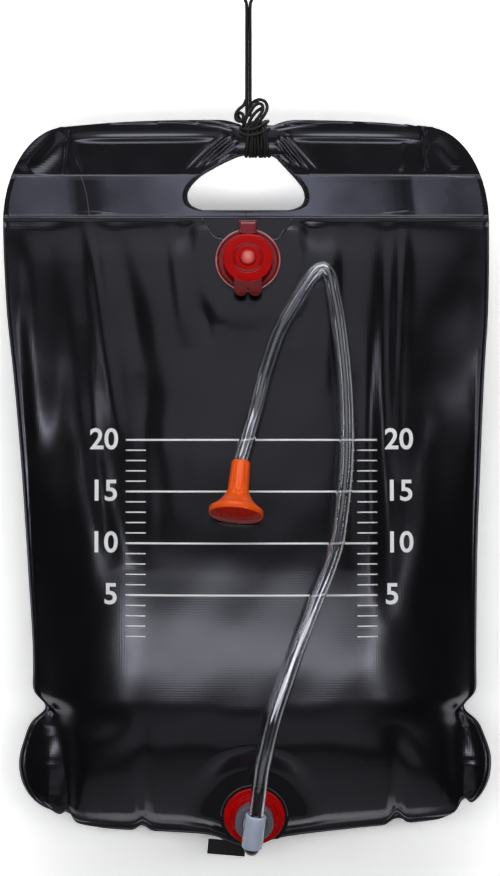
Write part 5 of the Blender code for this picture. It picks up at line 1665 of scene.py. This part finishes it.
def make_spray(finish):
    """The head with a smooth flare, its crowned rose in a darker orange as painted shade under the head, and
    black discs where the rose's holes are, painted shade in them.
    """
    orange, dark = finish["orange"], finish["dark_orange"]
    head = lathe("shower_head", head_profile(), SPRAY_FRAME, orange, "head", ("spray_head",))
    radius = HEAD_RADIUS - HEAD_WALL - FIT_GAP
    top = -HEAD_LENGTH + ROSE_THICKNESS
    shares = [k / CROWN_STEPS for k in range(CROWN_STEPS + 1)]
    crown = [(radius * share, top - ROSE_CROWN * (1 - share**2)) for share in shares]
    disc = crown + [(x, z - ROSE_THICKNESS) for x, z in reversed(crown)]
    rose = lathe("rose_disc", disc, SPRAY_FRAME, dark, "head", ("spray_rose",))
    # Black discs where the rose's holes are: painted shade in them
    holes = bmesh.new()
    upper, lower = ROSE_THICKNESS / 2, -FIT_GAP / 2
    dimple = [(0, upper), (ROSE_HOLE_RADIUS, upper), (ROSE_HOLE_RADIUS, lower), (0, lower)]
    for ring, count in zip(ROSE_RING_RADII, ROSE_RING_COUNTS):
        depth = top - ROSE_CROWN * (1 - (ring / radius) ** 2) - ROSE_THICKNESS
        for turn in [math.tau * k / count for k in range(count)]:
            spot = Matrix.Translation((ring * math.cos(turn), ring * math.sin(turn), depth))
            holes.from_mesh(turned("rose_hole", dimple, SPRAY_FRAME @ spot, HOLE_STEPS))
    holes = add("rose_hole_shade_discs", mesh_of(holes, "rose_hole_shade_discs", SHARP), finish["rubber"], "head")
    return [head, rose, holes]


def head_profile():
    """The head's outside from its neck down, and its bore from the rose's seat up."""
    bore = HOSE_DIAMETER / 2 + FIT_GAP
    land, stop = STEM_RADIUS + LAND_CLEARANCE, STEM_STOP + FIT_GAP
    low, bell_rim = -LAND_DEPTH - HEAD_LAND, -HEAD_LENGTH + HEAD_RIM
    reach, drop = smooth_table([(share[1], share[0]) for share in FLARE_SHARES], FLARE_STEPS)[::-1]
    wide, tall = HEAD_RADIUS - HEAD_WAIST_RADIUS, -HEAD_NECK_LENGTH - bell_rim
    flare = [(HEAD_WAIST_RADIUS + wide * r, -HEAD_NECK_LENGTH - tall * d) for r, d in zip(reach, drop)]
    rim = [
        flare[-1], (HEAD_RADIUS, -HEAD_LENGTH + HEAD_RIM / 3), (HEAD_RADIUS - BARB_STEP, -HEAD_LENGTH),
        (HEAD_RADIUS - HEAD_WALL, -HEAD_LENGTH), (HEAD_RADIUS - HEAD_WALL, bell_rim),
    ]
    inside = [
        (stop + HEAD_WALL, low - HEAD_WALL), (stop, low), (land, low), (land, -LAND_DEPTH),
        (bore, -LAND_DEPTH), (bore, 0),
    ]
    neck = [(HEAD_NECK_RADIUS - BARB_STEP, 0), (HEAD_NECK_RADIUS, -BARB_STEP * 2)]
    return neck + flare + rounded(rim, CAP_ROUND, closed=False)[1:] + inside


# Stage, world and lamps


def backdrop_material():
    """White to the camera, gloss and glass from the front, and not there for other light or from behind."""
    wall = Finish("backdrop_white")
    wall.nodes.remove(wall.shader)
    diffuse = wall.new("BsdfDiffuse", {"Color": (WALL_WHITE, WALL_WHITE, WALL_WHITE, 1)})
    glow = wall.new("Emission", {"Strength": WALL_GLOW})
    both = wall.new("AddShader", {0: diffuse.outputs[0], 1: glow.outputs[0]})
    clear = wall.new("BsdfTransparent")
    rays = wall.new("LightPath").outputs
    seen = wall.math("ADD", rays["Is Camera Ray"], rays["Is Transmission Ray"])
    seen = wall.math("MINIMUM", wall.math("ADD", seen, rays["Is Glossy Ray"]), 1.0)
    front = wall.math("SUBTRACT", 1.0, wall.new("NewGeometry").outputs["Backfacing"])
    shown = wall.math("MULTIPLY", seen, front)
    mix = wall.new("MixShader", {0: shown, 1: clear.outputs[0], 2: both.outputs[0]})
    wall.put(wall.nodes["Material Output"].inputs["Surface"], mix.outputs[0])
    return wall.made


def plane(name, corners, finish):
    mesh = bpy.data.meshes.new(name)
    mesh.from_pydata(corners, [], [(0, 1, 2, 3)])
    mesh.materials.append(finish)
    made = bpy.data.objects.new(name, mesh)
    bpy.context.scene.collection.objects.link(made)
    return made


def make_stage():
    low, half = FLOOR_Z, WALL_SIZE / 2
    corners = [(-half, WALL_Y, low), (half, WALL_Y, low), (half, WALL_Y, half), (-half, WALL_Y, half)]
    backdrop = plane("backdrop", corners, backdrop_material())
    shade = (FLOOR_SHADE, FLOOR_SHADE, FLOOR_SHADE, 1)
    white = Finish("floor_white", Roughness=FLOOR_ROUGHNESS, Base_Color=shade).made
    corners = [(-half, -half, low), (half, -half, low), (half, half, low), (-half, half, low)]
    plane("floor", corners, white)


def make_world():
    """White to the camera, and to gloss and glass where they look past the bag; dim before it."""
    world = bpy.data.worlds.new("studio")
    bpy.context.scene.world = world
    world.use_nodes = True
    studio = Tree(world.node_tree)
    background = studio.nodes["Background"]
    rays = studio.new("LightPath").outputs
    past = studio.ramp(studio.along("Y", "Generated"), 0.0, 1.0, 0.0, WORLD_FADE)
    seen = studio.math("ADD", rays["Is Glossy Ray"], rays["Is Transmission Ray"])
    seen = studio.math("MULTIPLY", studio.math("MINIMUM", seen, 1.0), past)
    seen = studio.math("MAXIMUM", seen, rays["Is Camera Ray"])
    studio.put(background.inputs["Strength"], studio.ramp(seen, WORLD_LIGHT, 1.0))
    background.inputs["Color"].default_value = (1, 1, 1, 1)


def make_lights():
    for name, place, aim, size, power, shape in LAMPS:
        data = bpy.data.lights.new(name, "AREA")
        data.shape = shape
        data.size, data.size_y = size
        data.energy = power
        made = bpy.data.objects.new(name, data)
        made.location = place
        made.rotation_euler = (Vector(aim) - Vector(place)).to_track_quat("-Z", "Y").to_euler()
        made.visible_camera = False
        bpy.context.scene.collection.objects.link(made)


# Build, camera and cords first

make_camera()
FINISH = finishes()
make_cord(FINISH["cord"])
HOSE, HOSE_LINE = make_hose(FINISH["hose"])
SPRAY = make_spray(FINISH)
FRONT_SURFACE, SLOT_OUTLINE = make_film(FINISH)
make_band(FRONT_SURFACE, FINISH, SLOT_OUTLINE)
make_slot_rim(FINISH, SLOT_OUTLINE)
make_welds(FRONT_SURFACE, FINISH, SLOT_OUTLINE)
make_marks(FRONT_SURFACE, FINISH)
make_filler(FINISH)
make_outlet(FINISH)
for node, key in (
    ("header_liner", "film"), ("filler_patch", "film"), ("outlet_patch", "film"), ("bottom_tab", "strip"),
    ("elbow_o_ring", "rubber"), ("spray_stem", "black"), ("stem_o_ring", "rubber"),
):
    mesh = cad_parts[node].data
    mesh.materials.clear()
    mesh.materials.append(FINISH[key])
make_stage()
make_world()
make_lights()

scene = bpy.context.scene
scene.view_settings.view_transform = "Standard"
